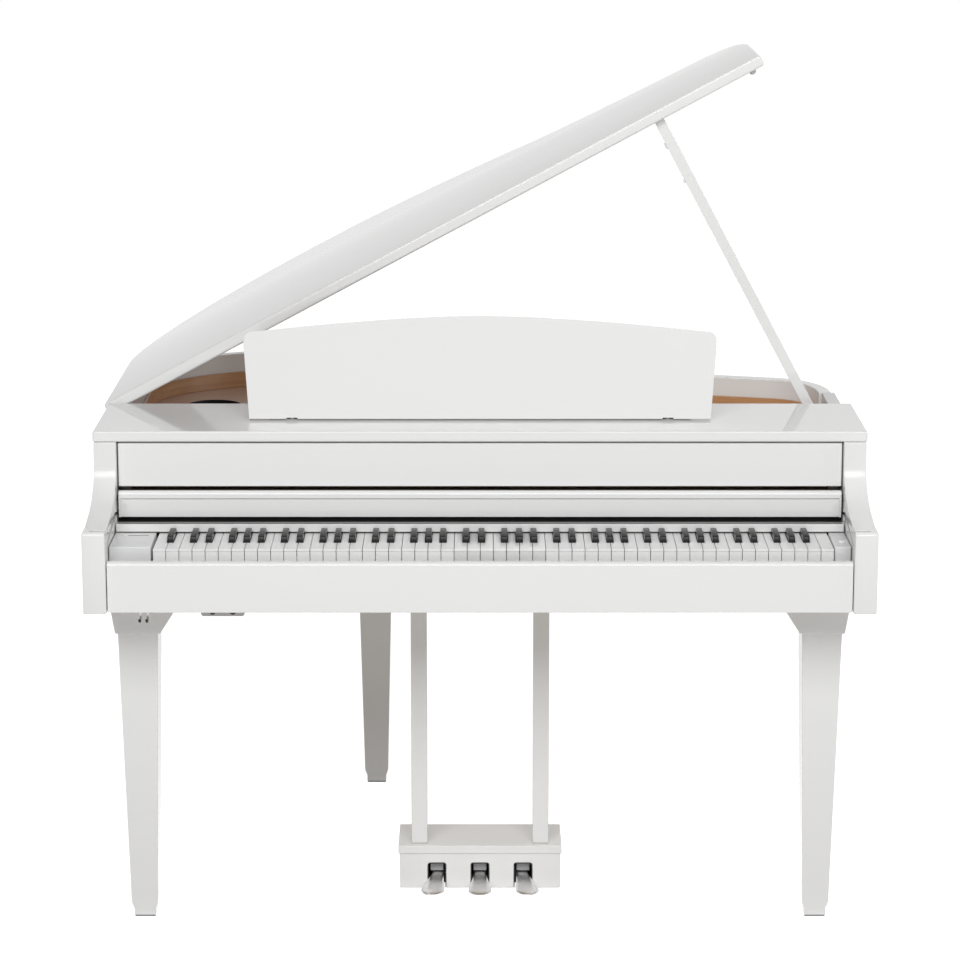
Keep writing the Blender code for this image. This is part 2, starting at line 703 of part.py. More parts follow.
def music_rest():
    """Music rest on its hinge strip, and the two props whose feet slide as it folds back."""
    d, z = REST_AXIS
    back, face = -REST_FACE, -REST_FACE - REST_THICK
    rest = add_part("music_rest", prism(rest_outline(), "y", face, back), WHITE_LACQUER,
                    (0, d, z), (-REST_LEAN, 0, 0), local=True)
    soften(rest, 0.0025, segments=2, angle=50)
    evaluate_in_place(rest)
    prop_x = 0.200
    hinge_x = 0.3525
    for side in (-1, 1):
        x = side * hinge_x
        bm = bmesh.new()
        add_block(bm, x - 0.0103, x + 0.0103, -0.012, 0.02, -0.02, 0.0045)
        cut(rest, bm)
        x = side * prop_x
        cut(rest, block(x - 0.0085, x + 0.0085, back - 0.0030, 0.02, PROP_REACH - 0.006, 2 * PROP_REACH + 0.006))
        for low in (x - 0.0125, x + 0.0085):
            lug = arc((0, PROP_REACH), 0.0026, 90, -90, 5) + [(back - 0.001, PROP_REACH - 0.0026),
                                                             (back - 0.001, PROP_REACH + 0.0026)]
            join(rest, prism(lug, "x", low, low + 0.0040))
        bm = bmesh.new()
        add_rod(bm, (x - 0.02, 0, PROP_REACH), (x + 0.02, 0, PROP_REACH), 0.0014, 10)
        cut(rest, bm)

    strip = block(-0.395, 0.395, d - 0.002, d + 0.012, BOARD_TOP + GAP, BOARD_TOP + 0.0017)
    hinge = add_part("music_rest_hinge", strip, CHROME, (0, d, z))
    for side in (-1, 1):
        x = side * hinge_x
        bm = bmesh.new()
        add_rod(bm, (x - 0.0100, 0, 0), (x + 0.0100, 0, 0), 0.0030)
        join(hinge, bm)

    for side in (-1, 1):
        name = "rest_prop_left" if side < 0 else "rest_prop_right"
        x = side * prop_x
        head, foot, half = 0.0022, 0.0037, 0.0016
        points = arc((0, 0), head, -45, 225, 8) + [(-half, -0.004), (-half, -PROP_REACH + 0.004)]
        points += arc((0, -PROP_REACH), foot, 135, 405, 10) + [(half, -PROP_REACH + 0.004), (half, -0.004)]
        bm = prism(points, "x", -0.007, 0.007)
        prop = add_part(name, bm, STEEL, (x, 0, PROP_REACH), (2 * REST_LEAN, 0, 0), parent=rest, local=True)
        bm = bmesh.new()
        add_rod(bm, (-0.0120, 0, 0), (0.0120, 0, 0), 0.0011, 8)
        join(prop, bm)


def note(index):
    """Place of a white key in its octave, counted from C; the keyboard starts on A."""
    return (index + 5) % 7


def key_edge(index):
    return KEYS_LEFT + WHITE_PITCH * index


def sharp_centre(index):
    """Middle of the black key to the right of a white key, or None."""
    offset = SHARPS.get(note(index))
    if offset is None or not 0 <= index < WHITE_COUNT - 1:
        return None
    return key_edge(index + 1) + offset


def white_outline(index):
    """Plan of a white key, notched for the black keys beside it."""
    left = key_edge(index) + KEY_GAP / 2
    right = key_edge(index + 1) - KEY_GAP / 2
    clearance = BLACK_WIDTH / 2 + 0.0012
    before, after = sharp_centre(index - 1), sharp_centre(index)
    points = [(left, KEY_FRONT), (right, KEY_FRONT)]
    if after is not None:
        points += [(right, NOTCH_FRONT), (after - clearance, NOTCH_FRONT), (after - clearance, KEY_REAR)]
    else:
        points.append((right, KEY_REAR))
    if before is not None:
        points += [(before + clearance, KEY_REAR), (before + clearance, NOTCH_FRONT), (left, NOTCH_FRONT)]
    else:
        points.append((left, KEY_REAR))
    return points


def black_profile(bottom, rear):
    """Side view of a black key: sloped front, cap, and the stick that runs back under the rail."""
    return [(BLACK_FRONT, bottom), (rear, bottom), (rear, STICK_TOP), (BLACK_REAR, STICK_TOP),
            (BLACK_REAR, BLACK_TOP), (BLACK_FRONT + 0.0065, BLACK_TOP), (BLACK_FRONT + 0.0025, BLACK_TOP - 0.002),
            (BLACK_FRONT, 0.7450)]


def is_free(index):
    return FREE_OCTAVE_START <= index < FREE_OCTAVE_START + 7


def key_frame():
    """Key frame on the keybed, moulded in one with the white keys outside the free octave."""
    left, right = KEYS_LEFT + 0.0005, key_edge(WHITE_COUNT) - 0.0005
    floor, top = KEYBED_TOP + GAP, FRAME_TOP
    profile = [(0.060, floor), (0.300, floor), (0.300, top), (0.262, top), (0.258, 0.664), (0.118, 0.664),
               (0.115, 0.706), (0.090, 0.706), (0.087, 0.664), (0.060, 0.664)]
    frame = add_part("white_keys", prism(profile, "x", left, right), KEY_WHITE)
    free = (key_edge(FREE_OCTAVE_START), key_edge(FREE_OCTAVE_START + 7))
    pivot = KEY_PIVOT[0]
    cut(frame, prism([(0.25, top + 0.001), (0.25, 0.7155), (0.2615, 0.7155), (pivot - 0.001, top),
                      (pivot - 0.001, top + 0.001)], "x", *free))
    ridge = bmesh.new()
    add_rod(ridge, (free[0] + 0.001, *KEY_PIVOT), (free[1] - 0.001, *KEY_PIVOT), RIDGE, 10)
    join(frame, ridge)
    teeth = bmesh.new()
    for index in range(WHITE_COUNT):
        if not is_free(index):
            extrude_outline(teeth, white_outline(index), "z", 0.7215, KEY_TOP)
    join(frame, teeth)


def black_bar():
    """Black keys outside the free octave, on the bar that carries them behind the white keys."""
    bar = add_part("black_keys", block(KEYS_LEFT + 0.001, key_edge(WHITE_COUNT) - 0.001, 0.2865, 0.2995,
                                       KEY_BOTTOM + 0.0001, STICK_TOP), KEY_BLACK)
    teeth = bmesh.new()
    half = BLACK_WIDTH / 2
    for index in range(WHITE_COUNT):
        centre = sharp_centre(index)
        if centre is not None and not is_free(index):
            extrude_outline(teeth, black_profile(0.7300, 0.2880), "x", centre - half, centre + half)
    join(bar, teeth)


def hinged_key(node, bm, finish, middle):
    """One key with its origin on the ridge it rocks on, and a groove that seats it there."""
    key = add_part(node, bm, finish, (middle, *KEY_PIVOT))
    groove_cutter = bmesh.new()
    add_rod(groove_cutter, (-0.02, 0, 0), (0.02, 0, 0), RIDGE + 0.0003, 10)
    cut(key, groove_cutter)


def free_octave():
    """The twelve keys of the middle octave, each on its own pivot at the back."""
    half = BLACK_WIDTH / 2
    for step, name in enumerate(WHITE_NAMES):
        index = FREE_OCTAVE_START + step
        bm = prism(white_outline(index), "z", KEY_BOTTOM, KEY_TOP)
        hinged_key("key_" + name, bm, KEY_WHITE, key_edge(index) + WHITE_PITCH / 2)
    for step, name in SHARP_NAMES.items():
        centre = sharp_centre(FREE_OCTAVE_START + step)
        bm = prism(black_profile(KEY_BOTTOM, KEY_REAR), "x", centre - half, centre + half)
        hinged_key("key_" + name, bm, KEY_BLACK, centre)


def leg(node, x, d, top, capital):
    """Square tapered leg with a turned-in foot and a flared capital, made in one."""
    glide, foot, ankle, knee, neck = 0.0197, 0.0202, 0.0247, 0.0371, 0.0420
    sections = [(0, x - glide, x + glide, d - glide, d + glide),
                (0.0010, x - foot, x + foot, d - foot, d + foot),
                (0.0150, x - foot, x + foot, d - foot, d + foot),
                (0.0290, x - ankle, x + ankle, d - ankle, d + ankle),
                (0.5575, x - knee, x + knee, d - knee, d + knee),
                (0.5595, x - neck, x + neck, d - neck, d + neck)]
    left, right, front, rear = capital
    sections.append((top, x - left, x + right, d - front, d + rear))
    add_part(node, loft(sections), WHITE_LACQUER, (x, d, 0))


def legs():
    top = KEYBED_BOTTOM - GAP
    x, d = 0.6340, 0.1895
    leg("front_left_leg", -x, d, top, (0.056, 0.085, 0.058, 0.085))
    leg("front_right_leg", x, d, top, (0.085, 0.056, 0.058, 0.085))
    leg("rear_leg", -0.2215, 1.020, FLOOR_UNDER - GAP, (0.070, 0.070, 0.070, 0.070))


def lyre():
    """Two square posts under the keybed and the pedal box between their feet."""
    for side in (-1, 1):
        name = "left_post" if side < 0 else "right_post"
        x = side * POST_X
        bm = block(x - POST_HALF, x + POST_HALF, POST_FRONT, POST_REAR, BOX_TOP + GAP, KEYBED_BOTTOM - GAP)
        soften(add_part(name, bm, WHITE_LACQUER), 0.0015, segments=1)
    large = (-BOX_HALF, BOX_HALF, BOX_FRONT, BOX_REAR)
    inwards = (1, -1, 1, -1)
    small = [place + BOX_LEDGE * way for place, way in zip(large, inwards)]
    round_over = 0.0015
    crown = [place + round_over * way for place, way in zip(large, inwards)]
    bm = loft([(BOX_BOTTOM, *small), (BOX_PLATE, *small), (BOX_PLATE, *large), (BOX_TOP - round_over, *large),
               (BOX_TOP, *crown)])
    box = add_part("pedal_box", bm, WHITE_LACQUER)
    cut(box, block(-0.120, 0.120, 0.330, 0.438, -0.01, 0.068))
    for x in (-SLOT_X, 0, SLOT_X):
        half, top, r = 0.018, 0.054, 0.005
        opening = [(x - half, -0.01), (x + half, -0.01)] + arc((x + half - r, top - r), r, 0, 90, 3)
        opening += arc((x - half + r, top - r), r, 90, 180, 3)
        cut(box, prism(opening, "y", 0.30, 0.34))
    for x, splay in PEDALS.values():
        lugs = bmesh.new()
        for side in (-1, 1):
            low, high = sorted((side * 0.0128, side * 0.0168))
            tongue = arc((0, 0), 0.0075, 180, 360, 6) + [(0.0075, 0.060), (-0.0075, 0.060)]
            extrude_outline(lugs, tongue, "x", low, high)
        seat_lugs(box, lugs, x, splay, "UNION")
        holes = bmesh.new()
        add_rod(holes, (-0.022, 0, 0), (0.022, 0, 0), 0.0030, 10)
        seat_lugs(box, holes, x, splay, "DIFFERENCE")
    pads = bmesh.new()
    for x in (-0.135, 0.135):
        for d in (0.340, 0.430):
            add_rod(pads, (x, d, 0), (x, d, 0.010), 0.008, 16)
    join(box, pads)


def seat_lugs(box, bm, x, splay, operation):
    """Turn a shape drawn about a pedal's pivot into place and combine it with the box."""
    place = Matrix.Translation((x, *PEDAL_AXIS)) @ Matrix.Rotation(math.radians(splay), 4, "Z")
    bmesh.ops.transform(bm, matrix=place, verts=bm.verts)
    combine(box, bm, operation)


def pedal_outline():
    """Plan of a pedal from its pivot to its rounded tip, pointing to the player."""
    tip, neck = 0.0205, 0.0115
    length = PEDAL_LENGTH
    flank = bezier((neck, -0.082), (neck + 0.001, -0.125), (tip, -0.135), (tip, -length + 0.022), 5)
    end = bezier((tip, -length + 0.022), (tip, -length + 0.006), (0.013, -length), (0, -length), 5)
    right = [(neck, 0.006)] + flank + end
    return right + [(0, -length)] + [(-x, d) for x, d in right[::-1]]


def pedals():
    """Soft, sostenuto and damper pedals; the outer two splay outwards."""
    d, z = PEDAL_AXIS
    for name, (x, splay) in PEDALS.items():
        bm = prism(pedal_outline(), "z", -PEDAL_THICK / 2, PEDAL_THICK / 2)
        turn = (0, 0, math.radians(splay))
        pedal = add_part(name, bm, CHROME, (x, d, z), turn, local=True)
        soften(pedal, 0.0022, segments=2, angle=50)
        evaluate_in_place(pedal)
        pin = bmesh.new()
        add_rod(pin, (-0.0160, 0, 0), (0.0160, 0, 0), 0.0026, 10)
        join(pedal, pin)
        shade_round(pedal, 60)


def jack_box():
    """Socket box under the keybed for two headphone plugs."""
    x0, x1, d0, d1, z0, z1 = -0.507, -0.428, 0.050, 0.125, 0.6160, KEYBED_BOTTOM - GAP
    r = 0.004
    outline = arc((x0 + r, z0 + r), r, 180, 270, 4) + arc((x1 - r, z0 + r), r, 270, 360, 4) + [(x1, z1), (x0, z1)]
    box = add_part("jack_box", prism(outline, "y", d0, d1), GREY_PLASTIC)
    for x in JACKS_X:
        bm = bmesh.new()
        add_rod(bm, (x, d0 - 0.01, JACKS_Z), (x, d0 + 0.030, JACKS_Z), JACK_RADIUS, 12)
        cut(box, bm)


def tube_path(bm, points, radius, sides=8):
    """Add a closed bent wire through the given points."""
    path = [Vector(p) for p in points]
    rings = []
    side = Vector((1, 0, 0))
    for i, point in enumerate(path):
        along = (path[min(i + 1, len(path) - 1)] - path[max(i - 1, 0)]).normalized()
        side = (side - along * side.dot(along)).normalized()
        other = along.cross(side)
        ring = []
        for k in range(sides):
            a = 2 * math.pi * k / sides
            ring.append(bm.verts.new(point + radius * (math.cos(a) * side + math.sin(a) * other)))
        rings.append(ring)
    bm.faces.new(rings[0])
    bm.faces.new(rings[-1])
    for lower, upper in zip(rings, rings[1:]):
        for k in range(sides):
            j = (k + 1) % sides
            bm.faces.new((lower[k], lower[j], upper[j], upper[k]))


def headphone_hook():
    """Two chromed wire prongs on a plate under the keybed."""
    x, d, z = -0.613, 0.075, KEYBED_BOTTOM - GAP
    hook = add_part("headphone_hook", block(x - 0.011, x + 0.011, d - 0.010, d + 0.012, z - 0.002, z), CHROME)
    for side in (-1, 1):
        prong = [(d, z - 0.001), (d - 0.001, z - 0.016)]
        prong += arc((d - 0.012, z - 0.020), 0.011, 0, -140, 6)
        bm = bmesh.new()
        tube_path(bm, [(x + side * 0.0065, a, b) for a, b in prong], 0.0021)
        join(hook, bm)


def electronics():
    """Main circuit board on its spacers and the mains inlet under the case."""
    x, d, z = 0.30, 0.62, CASE_FLOOR + GAP
    bm = block(x - 0.11, x + 0.11, d - 0.075, d + 0.075, z + 0.008, z + 0.0096)
    board = add_part("main_board", bm, BOARD_GREEN)
    parts = bmesh.new()
    for px in (-0.1, 0.1):
        for pd in (-0.065, 0.065):
            add_rod(parts, (x + px, d + pd, z), (x + px, d + pd, z + 0.009), 0.0035, 8)
    join(board, parts)
    chips = bmesh.new()
    for px, pd, w, h, t in ((-0.05, 0.01, 0.028, 0.028, 0.003), (0.03, 0.02, 0.022, 0.014, 0.003),
                            (0.07, -0.035, 0.040, 0.022, 0.018), (-0.03, -0.045, 0.060, 0.010, 0.010)):
        add_block(chips, x + px - w / 2, x + px + w / 2, d + pd - h / 2, d + pd + h / 2, z + 0.009, z + 0.009 + t)
    join(board, chips)

    ix, rear, top = INLET_X, 0.600, FLOOR_UNDER - GAP
    bm = block(ix - 0.030, ix + 0.030, 0.540, rear, top - 0.026, top)
    inlet = add_part("power_inlet", bm, DARK_PLASTIC)
    cut(inlet, block(ix - 0.012, ix + 0.012, 0.582, rear + 0.01, top - 0.022, top - 0.005))
    contacts = bmesh.new()
    for px in (-0.0045, 0.0045):
        add_block(contacts, ix + px - 0.0012, ix + px + 0.0012, 0.580, 0.596, top - 0.0150, top - 0.0110)
    join(inlet, contacts)


def build():
    clear_scene()
    for side in (-1, 1):
        cheek_block(side)
        side_wall(side)
    case_rim()
    case_boards()
    deck()
    inner_rim_band()
    for node, place in zip(("speaker_left", "speaker_right"), SPEAKERS):
        speaker(node, *place)
    electronics()
    key_slip()
    controls()
    front_panels()
    key_frame()
    black_bar()
    free_octave()
    key_cover()
    top_board()
    music_rest()
    lid_assembly()
    lid_stay()
    legs()
    lyre()
    pedals()
    jack_box()
    headphone_hook()


build()
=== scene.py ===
import math

import bmesh
import bpy
from mathutils import Matrix, Vector


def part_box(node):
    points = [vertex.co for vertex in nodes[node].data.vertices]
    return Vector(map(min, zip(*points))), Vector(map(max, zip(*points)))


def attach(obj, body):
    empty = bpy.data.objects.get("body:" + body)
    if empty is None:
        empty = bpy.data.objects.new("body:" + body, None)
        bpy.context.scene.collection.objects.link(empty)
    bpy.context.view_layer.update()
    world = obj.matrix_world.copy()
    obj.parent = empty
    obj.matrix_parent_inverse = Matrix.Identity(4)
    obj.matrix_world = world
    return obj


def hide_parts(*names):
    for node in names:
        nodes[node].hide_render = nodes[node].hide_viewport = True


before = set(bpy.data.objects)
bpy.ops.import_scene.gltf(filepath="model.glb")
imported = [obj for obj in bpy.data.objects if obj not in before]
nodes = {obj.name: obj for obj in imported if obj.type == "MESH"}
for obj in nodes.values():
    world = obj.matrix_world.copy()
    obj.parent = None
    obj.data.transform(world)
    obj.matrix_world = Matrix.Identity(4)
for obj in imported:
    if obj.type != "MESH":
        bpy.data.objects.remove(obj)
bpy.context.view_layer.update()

# The picture: a long lens in front of the piano, above the lid's hinge and tilted down,
# in a white room with a pale floor and wide soft lamps.
# Places are counted from the middle of the keyboard case and from the front of the cheek blocks.
MIDDLE = (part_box("left_cheek_block")[0].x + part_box("right_cheek_block")[1].x) / 2
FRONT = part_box("right_cheek_block")[0].y
CAMERA_BACK = 5.600
CAMERA_HEIGHT = 2.1104
CAMERA_TILT = 12.361
CAMERA_LENS = 120.45
ROOM_GREY = 0.25
FLOOR_HALF = 9.0
FLOOR_GREY = 0.82
FLOOR_GLOW = 0.84


def row_point(x, d, z):
    """A point from its place on the piano: across, back from the cheeks, above the floor."""
    return Vector((MIDDLE + x, FRONT + d, z))


def add_object(name, data):
    """A new object in the scene around its data."""
    made = bpy.data.objects.new(name, data)
    bpy.context.scene.collection.objects.link(made)
    return made


camera = add_object("camera", bpy.data.cameras.new("camera"))
camera.data.lens = CAMERA_LENS
camera.location = row_point(0, -CAMERA_BACK, CAMERA_HEIGHT)
camera.rotation_euler = (math.radians(90 - CAMERA_TILT), 0, 0)
bpy.context.scene.camera = camera
bpy.context.scene.view_settings.view_transform = "Standard"


def add_node(tree, kind, inputs=None, **settings):
    """Add a node, set its properties, and set or wire its inputs by name or number."""
    made = tree.nodes.new(kind)
    for name, value in settings.items():
        setattr(made, name, value)
    for name, value in (inputs or {}).items():
        if isinstance(value, bpy.types.NodeSocket):
            tree.links.new(value, made.inputs[name])
        else:
            made.inputs[name].default_value = value
    return made


def reckon(tree, operation, first, second):
    """Two values added, subtracted, divided or compared."""
    return add_node(tree, "ShaderNodeMath", {0: first, 1: second}, operation=operation).outputs[0]


def seen_plainly(tree):
    """1 for rays that carry the background to the camera: direct, mirrored or through glass."""
    path = add_node(tree, "ShaderNodeLightPath").outputs
    mirrored = reckon(tree, "MAXIMUM", path["Is Camera Ray"], path["Is Glossy Ray"])
    return reckon(tree, "MAXIMUM", mirrored, path["Is Transmission Ray"])


def white_room():
    world = bpy.data.worlds.new("white_room")
    bpy.context.scene.world = world
    world.use_nodes = True
    tree = world.node_tree
    tree.nodes.clear()
    light = add_node(tree, "ShaderNodeBackground", {"Color": (1, 1, 1, 1), "Strength": ROOM_GREY})
    white = add_node(tree, "ShaderNodeBackground", {"Color": (1, 1, 1, 1), "Strength": 1.0})
    mixed = add_node(tree, "ShaderNodeMixShader",
                     {0: seen_plainly(tree), 1: light.outputs[0], 2: white.outputs[0]})
    add_node(tree, "ShaderNodeOutputWorld", {"Surface": mixed.outputs[0]})


def pale_floor():
    bm = bmesh.new()
    bmesh.ops.create_grid(bm, x_segments=1, y_segments=1, size=FLOOR_HALF)
    mesh = bpy.data.meshes.new("floor")
    bm.to_mesh(mesh)
    bm.free()
    material = bpy.data.materials.new("pale_floor")
    material.use_nodes = True
    tree = material.node_tree
    tree.nodes.clear()
    ground = add_node(tree, "ShaderNodeBsdfDiffuse", {"Color": (FLOOR_GREY, FLOOR_GREY, FLOOR_GREY, 1)})
    glow = add_node(tree, "ShaderNodeEmission", {"Color": (1, 1, 1, 1), "Strength": FLOOR_GLOW})
    dark = add_node(tree, "ShaderNodeEmission", {"Color": (0, 0, 0, 1), "Strength": 0.0})
    seen = add_node(tree, "ShaderNodeMixShader",
                    {0: seen_plainly(tree), 1: dark.outputs[0], 2: glow.outputs[0]})
    both = add_node(tree, "ShaderNodeAddShader", {0: ground.outputs[0], 1: seen.outputs[0]})
    add_node(tree, "ShaderNodeOutputMaterial", {"Surface": both.outputs[0]})
    mesh.materials.append(material)
    floor = add_object("floor", mesh)


def soft_lamp(name, place, target, width, height, power):
    lamp = add_object(name, bpy.data.lights.new(name, "AREA"))
    lamp.data.shape = "RECTANGLE"
    lamp.data.size, lamp.data.size_y = width, height
    lamp.data.energy = power
    lamp.location = row_point(*place)
    lamp.rotation_euler = (row_point(*target) - lamp.location).to_track_quat("-Z", "Y").to_euler()


white_room()
pale_floor()
soft_lamp("front_lamp", place=(-0.2, -4.6, 4.5), target=(0, 0.3, 0.7), width=6.0, height=3.0, power=276)
soft_lamp("side_lamp", place=(3.8, -0.4, 2.4), target=(0, 0.5, 0.8), width=2.4, height=2.4, power=28)


# Lacquered case walls: wood fibre board under thick white polyester, polished to a mirror,
# with the faint ripple that such a finish keeps.
# The bent rim runs from the bass side round the tail to the treble side.
WALL = 0.025
SIDE_HALF = 0.709
RIM_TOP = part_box("rim")[1].z
RIM_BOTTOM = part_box("rim")[0].z
RIM_TAIL = 1.223
RIM_RIGHT = 0.703
LACQUER_WHITE = (0.80, 0.80, 0.793)


def surface_group(name, inputs):
    """A shader group for a finish, its inputs given as (name, kind, value), and the place on the piece."""
    tree = bpy.data.node_groups.new(name, "ShaderNodeTree")
    for label, kind, value in inputs:
        socket = tree.interface.new_socket(label, in_out="INPUT", socket_type="NodeSocket" + kind)
        socket.default_value = value
    for label, kind in (("Colour", "Color"), ("Roughness", "Float"), ("Height", "Float")):
        tree.interface.new_socket(label, in_out="OUTPUT", socket_type="NodeSocket" + kind)
    place = add_node(tree, "ShaderNodeTexCoord").outputs["Object"]
    return tree, add_node(tree, "NodeGroupInput").outputs, place


def noise(tree, place, scale, detail, distortion=0.0):
    """Soft noise from 0 to 1."""
    return add_node(tree, "ShaderNodeTexNoise", {"Vector": place, "Scale": scale, "Detail": detail,
                                                 "Distortion": distortion}).outputs[0]


def spread(tree, value, low, high):
    """Map a 0 to 1 value onto a range."""
    return add_node(tree, "ShaderNodeMapRange",
                    {"Value": value, "To Min": low, "To Max": high}).outputs["Result"]


def shaded(tree, colour, amount):
    """A colour made lighter or darker by a factor."""
    return add_node(tree, "ShaderNodeVectorMath", {0: colour, "Scale": amount}, operation="SCALE").outputs[0]


def lacquer_surface():
    """Slow drift in tone, fine polishing haze, and orange peel of a few millimetres."""
    tree, given, place = surface_group("lacquer_surface", [
        ("Tone", "Color", (0.8, 0.8, 0.8, 1)), ("Drift", "Float", 0.01), ("Haze", "Float", 0.02),
        ("Gloss Roughness", "Float", 0.06), ("Peel Size", "Float", 0.005)])
    darker = reckon(tree, "SUBTRACT", 1.0, given["Drift"])
    lighter = reckon(tree, "ADD", 1.0, given["Drift"])
    slow = noise(tree, place, scale=2.2, detail=2.0)
    hazy = reckon(tree, "ADD", given["Gloss Roughness"], given["Haze"])
    fine = noise(tree, place, scale=38.0, detail=3.0)
    peel = noise(tree, place, scale=reckon(tree, "DIVIDE", 1.0, given["Peel Size"]), detail=1.0)
    add_node(tree, "NodeGroupOutput", {
        "Colour": shaded(tree, given["Tone"], spread(tree, slow, darker, lighter)),
        "Roughness": spread(tree, fine, given["Gloss Roughness"], hazy), "Height": peel})
    return tree


def coated_material(name, surface, given, bump=0.0, bump_depth=0.0005, **shader_inputs):
    """A Principled material whose colour, roughness and normal come from a surface group."""
    material = bpy.data.materials.new(name)
    material.use_nodes = True
    tree = material.node_tree
    shader = tree.nodes["Principled BSDF"]
    group = add_node(tree, "ShaderNodeGroup", node_tree=surface)
    for label, value in given.items():
        group.inputs[label].default_value = value
    tree.links.new(group.outputs["Colour"], shader.inputs["Base Color"])
    tree.links.new(group.outputs["Roughness"], shader.inputs["Roughness"])
    if bump:
        raised = add_node(tree, "ShaderNodeBump", {"Height": group.outputs["Height"], "Strength": bump,
                                                   "Distance": bump_depth})
        tree.links.new(raised.outputs[0], shader.inputs["Normal"])
    for label, value in shader_inputs.items():
        shader.inputs[label.replace("_", " ")].default_value = value
    return material


LACQUER_SURFACE = lacquer_surface()


def lacquer(name, gloss_roughness=0.035):
    given = {"Tone": (*LACQUER_WHITE, 1), "Gloss Roughness": gloss_roughness}
    return coated_material(name, LACQUER_SURFACE, given, bump=0.05)


WHITE_LACQUER = lacquer("white_lacquer")


def bezier(p0, p1, p2, p3, steps):
    """Points along a cubic curve, without its last point."""
    points = []
    for i in range(steps):
        t = i / steps
        s = 1 - t
        weights = (s ** 3, 3 * s * s * t, 3 * s * t * t, t ** 3)
        points.append(tuple(sum(w * p[k] for w, p in zip(weights, (p0, p1, p2, p3))) for k in (0, 1)))
    return points


def bent_line(points, steps):
    """A line through every third point, bent towards the two between, both ends included."""
    line = []
    for i in range(0, len(points) - 1, 3):
        line += bezier(*points[i:i + 4], steps)
    return line + [points[-1]]


def arc(centre, radius, start, end, steps):
    """Points on a circle between two angles in degrees, both ends included."""
    angles = [math.radians(start + (end - start) * i / steps) for i in range(steps + 1)]
    return [(centre[0] + radius * math.cos(a), centre[1] + radius * math.sin(a)) for a in angles]


def circle(centre, radius, steps):
    """Points all round a circle."""
    return arc(centre, radius, 0, 360, steps)[:-1]


def span(side, near, far):
    """The stretch across the piano between two distances from the middle, on one side."""
    return sorted((side * near, side * far))


def offset_path(path, distance):
    """Shift an open path to its right-hand side."""
    shifted = []
    for i, point in enumerate(path):
        along = (Vector(path[min(i + 1, len(path) - 1)]) - Vector(path[max(i - 1, 0)])).normalized()
        shifted.append((point[0] + distance * along.y, point[1] - distance * along.x))
    return shifted


def wall_outline(outer, thick):
    """The outline of a wall inside an open line, with square ends."""
    inner = offset_path(outer, thick)
    inner[0] = (outer[0][0] + thick, outer[0][1])
    inner[-1] = (outer[-1][0] - thick, outer[-1][1])
    return outer + inner[::-1]


def add_skin(bm, rings, closed=False):
    """Join rings of places point for point; the ends are capped, or join where it is closed."""
    loops = [[bm.verts.new(place) for place in ring] for ring in rings]
    if closed:
        loops.append(loops[0])
    else:
        bm.faces.new(loops[0])
        bm.faces.new(loops[-1])
    for one, other in zip(loops, loops[1:]):
        for i in range(len(one)):
            j = (i + 1) % len(one)
            bm.faces.new((one[i], one[j], other[j], other[i]))


def add_prism(bm, points, axis, low, high):
    """Add a prism; its outline lies square to the axis, in the other two axes' order."""
    slot = "xyz".index(axis)
    add_skin(bm, [[(*point[:slot], level, *point[slot:]) for point in points] for level in (low, high)])


def prism(points, axis, low, high):
    bm = bmesh.new()
    add_prism(bm, points, axis, low, high)
    return bm


def add_block(bm, x0, x1, d0, d1, z0, z1):
    add_prism(bm, [(x0, d0), (x1, d0), (x1, d1), (x0, d1)], "z", z0, z1)


def block(x0, x1, d0, d1, z0, z1):
    bm = bmesh.new()
    add_block(bm, x0, x1, d0, d1, z0, z1)
    return bm


def applied(obj):
    """Replace an object's mesh by its mesh with the modifiers applied."""
    bpy.context.view_layer.update()
    graph = bpy.context.evaluated_depsgraph_get()
    mesh = bpy.data.meshes.new_from_object(obj.evaluated_get(graph))
    obj.modifiers.clear()
    obj.data = mesh


def mesh_object(name, bm):
    """An object in the scene from a bmesh, its faces turned outwards."""
    bmesh.ops.recalc_face_normals(bm, faces=bm.faces)
    mesh = bpy.data.meshes.new(name)
    bm.to_mesh(mesh)
    bm.free()
    return add_object(name, mesh)


def carve(obj, tools):
    """Cut every tool, a bmesh, out of an object."""
    for source in tools:
        tool = mesh_object("tool", source)
        modifier = obj.modifiers.new("cut", "BOOLEAN")
        modifier.operation = "DIFFERENCE"
        modifier.object = tool
        applied(obj)
        bpy.data.objects.remove(tool, do_unlink=True)


def round_off(obj, width, segments, angle, harden_normals=False):
    """Round the edges whose faces meet at more than an angle in degrees."""
    bevel = obj.modifiers.new("rounded", "BEVEL")
    bevel.width = width
    bevel.segments = segments
    bevel.limit_method = "ANGLE"
    bevel.angle_limit = math.radians(angle)
    bevel.harden_normals = harden_normals
    applied(obj)


def smooth_between(obj, angle):
    """Shade smoothly, except across edges sharper than an angle in degrees."""
    obj.data.shade_smooth()
    obj.data.set_sharp_from_angle(angle=math.radians(angle))


def piece(name, bm, material, body, replaces=(), round_edges=0.0, segments=3, edge_angle=30, cuts=(),
          late_cuts=(), place=None):
    """Make one finished piece from a bmesh on the piano: cut, round its edges, seat it in the frame."""
    obj = mesh_object(name, bm)
    carve(obj, cuts)
    if round_edges:
        obj.data.shade_smooth()
        round_off(obj, round_edges, segments, edge_angle, harden_normals=not late_cuts)
    carve(obj, late_cuts)
    if not round_edges or late_cuts:
        smooth_between(obj, edge_angle)
    obj.data.transform(Matrix.Translation(row_point(0, 0, 0)) @ (place or Matrix()))
    obj.data.materials.clear()
    obj.data.materials.append(material)
    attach(obj, body)
    if replaces:
        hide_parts(*replaces)
    return obj


def lacquered(name, bm, replaces, material=WHITE_LACQUER, body="case", **finish):
    """Make a lacquered wooden piece; its finish is its rounding, its cuts and its place."""
    piece(name, bm, material, body, replaces, **finish)


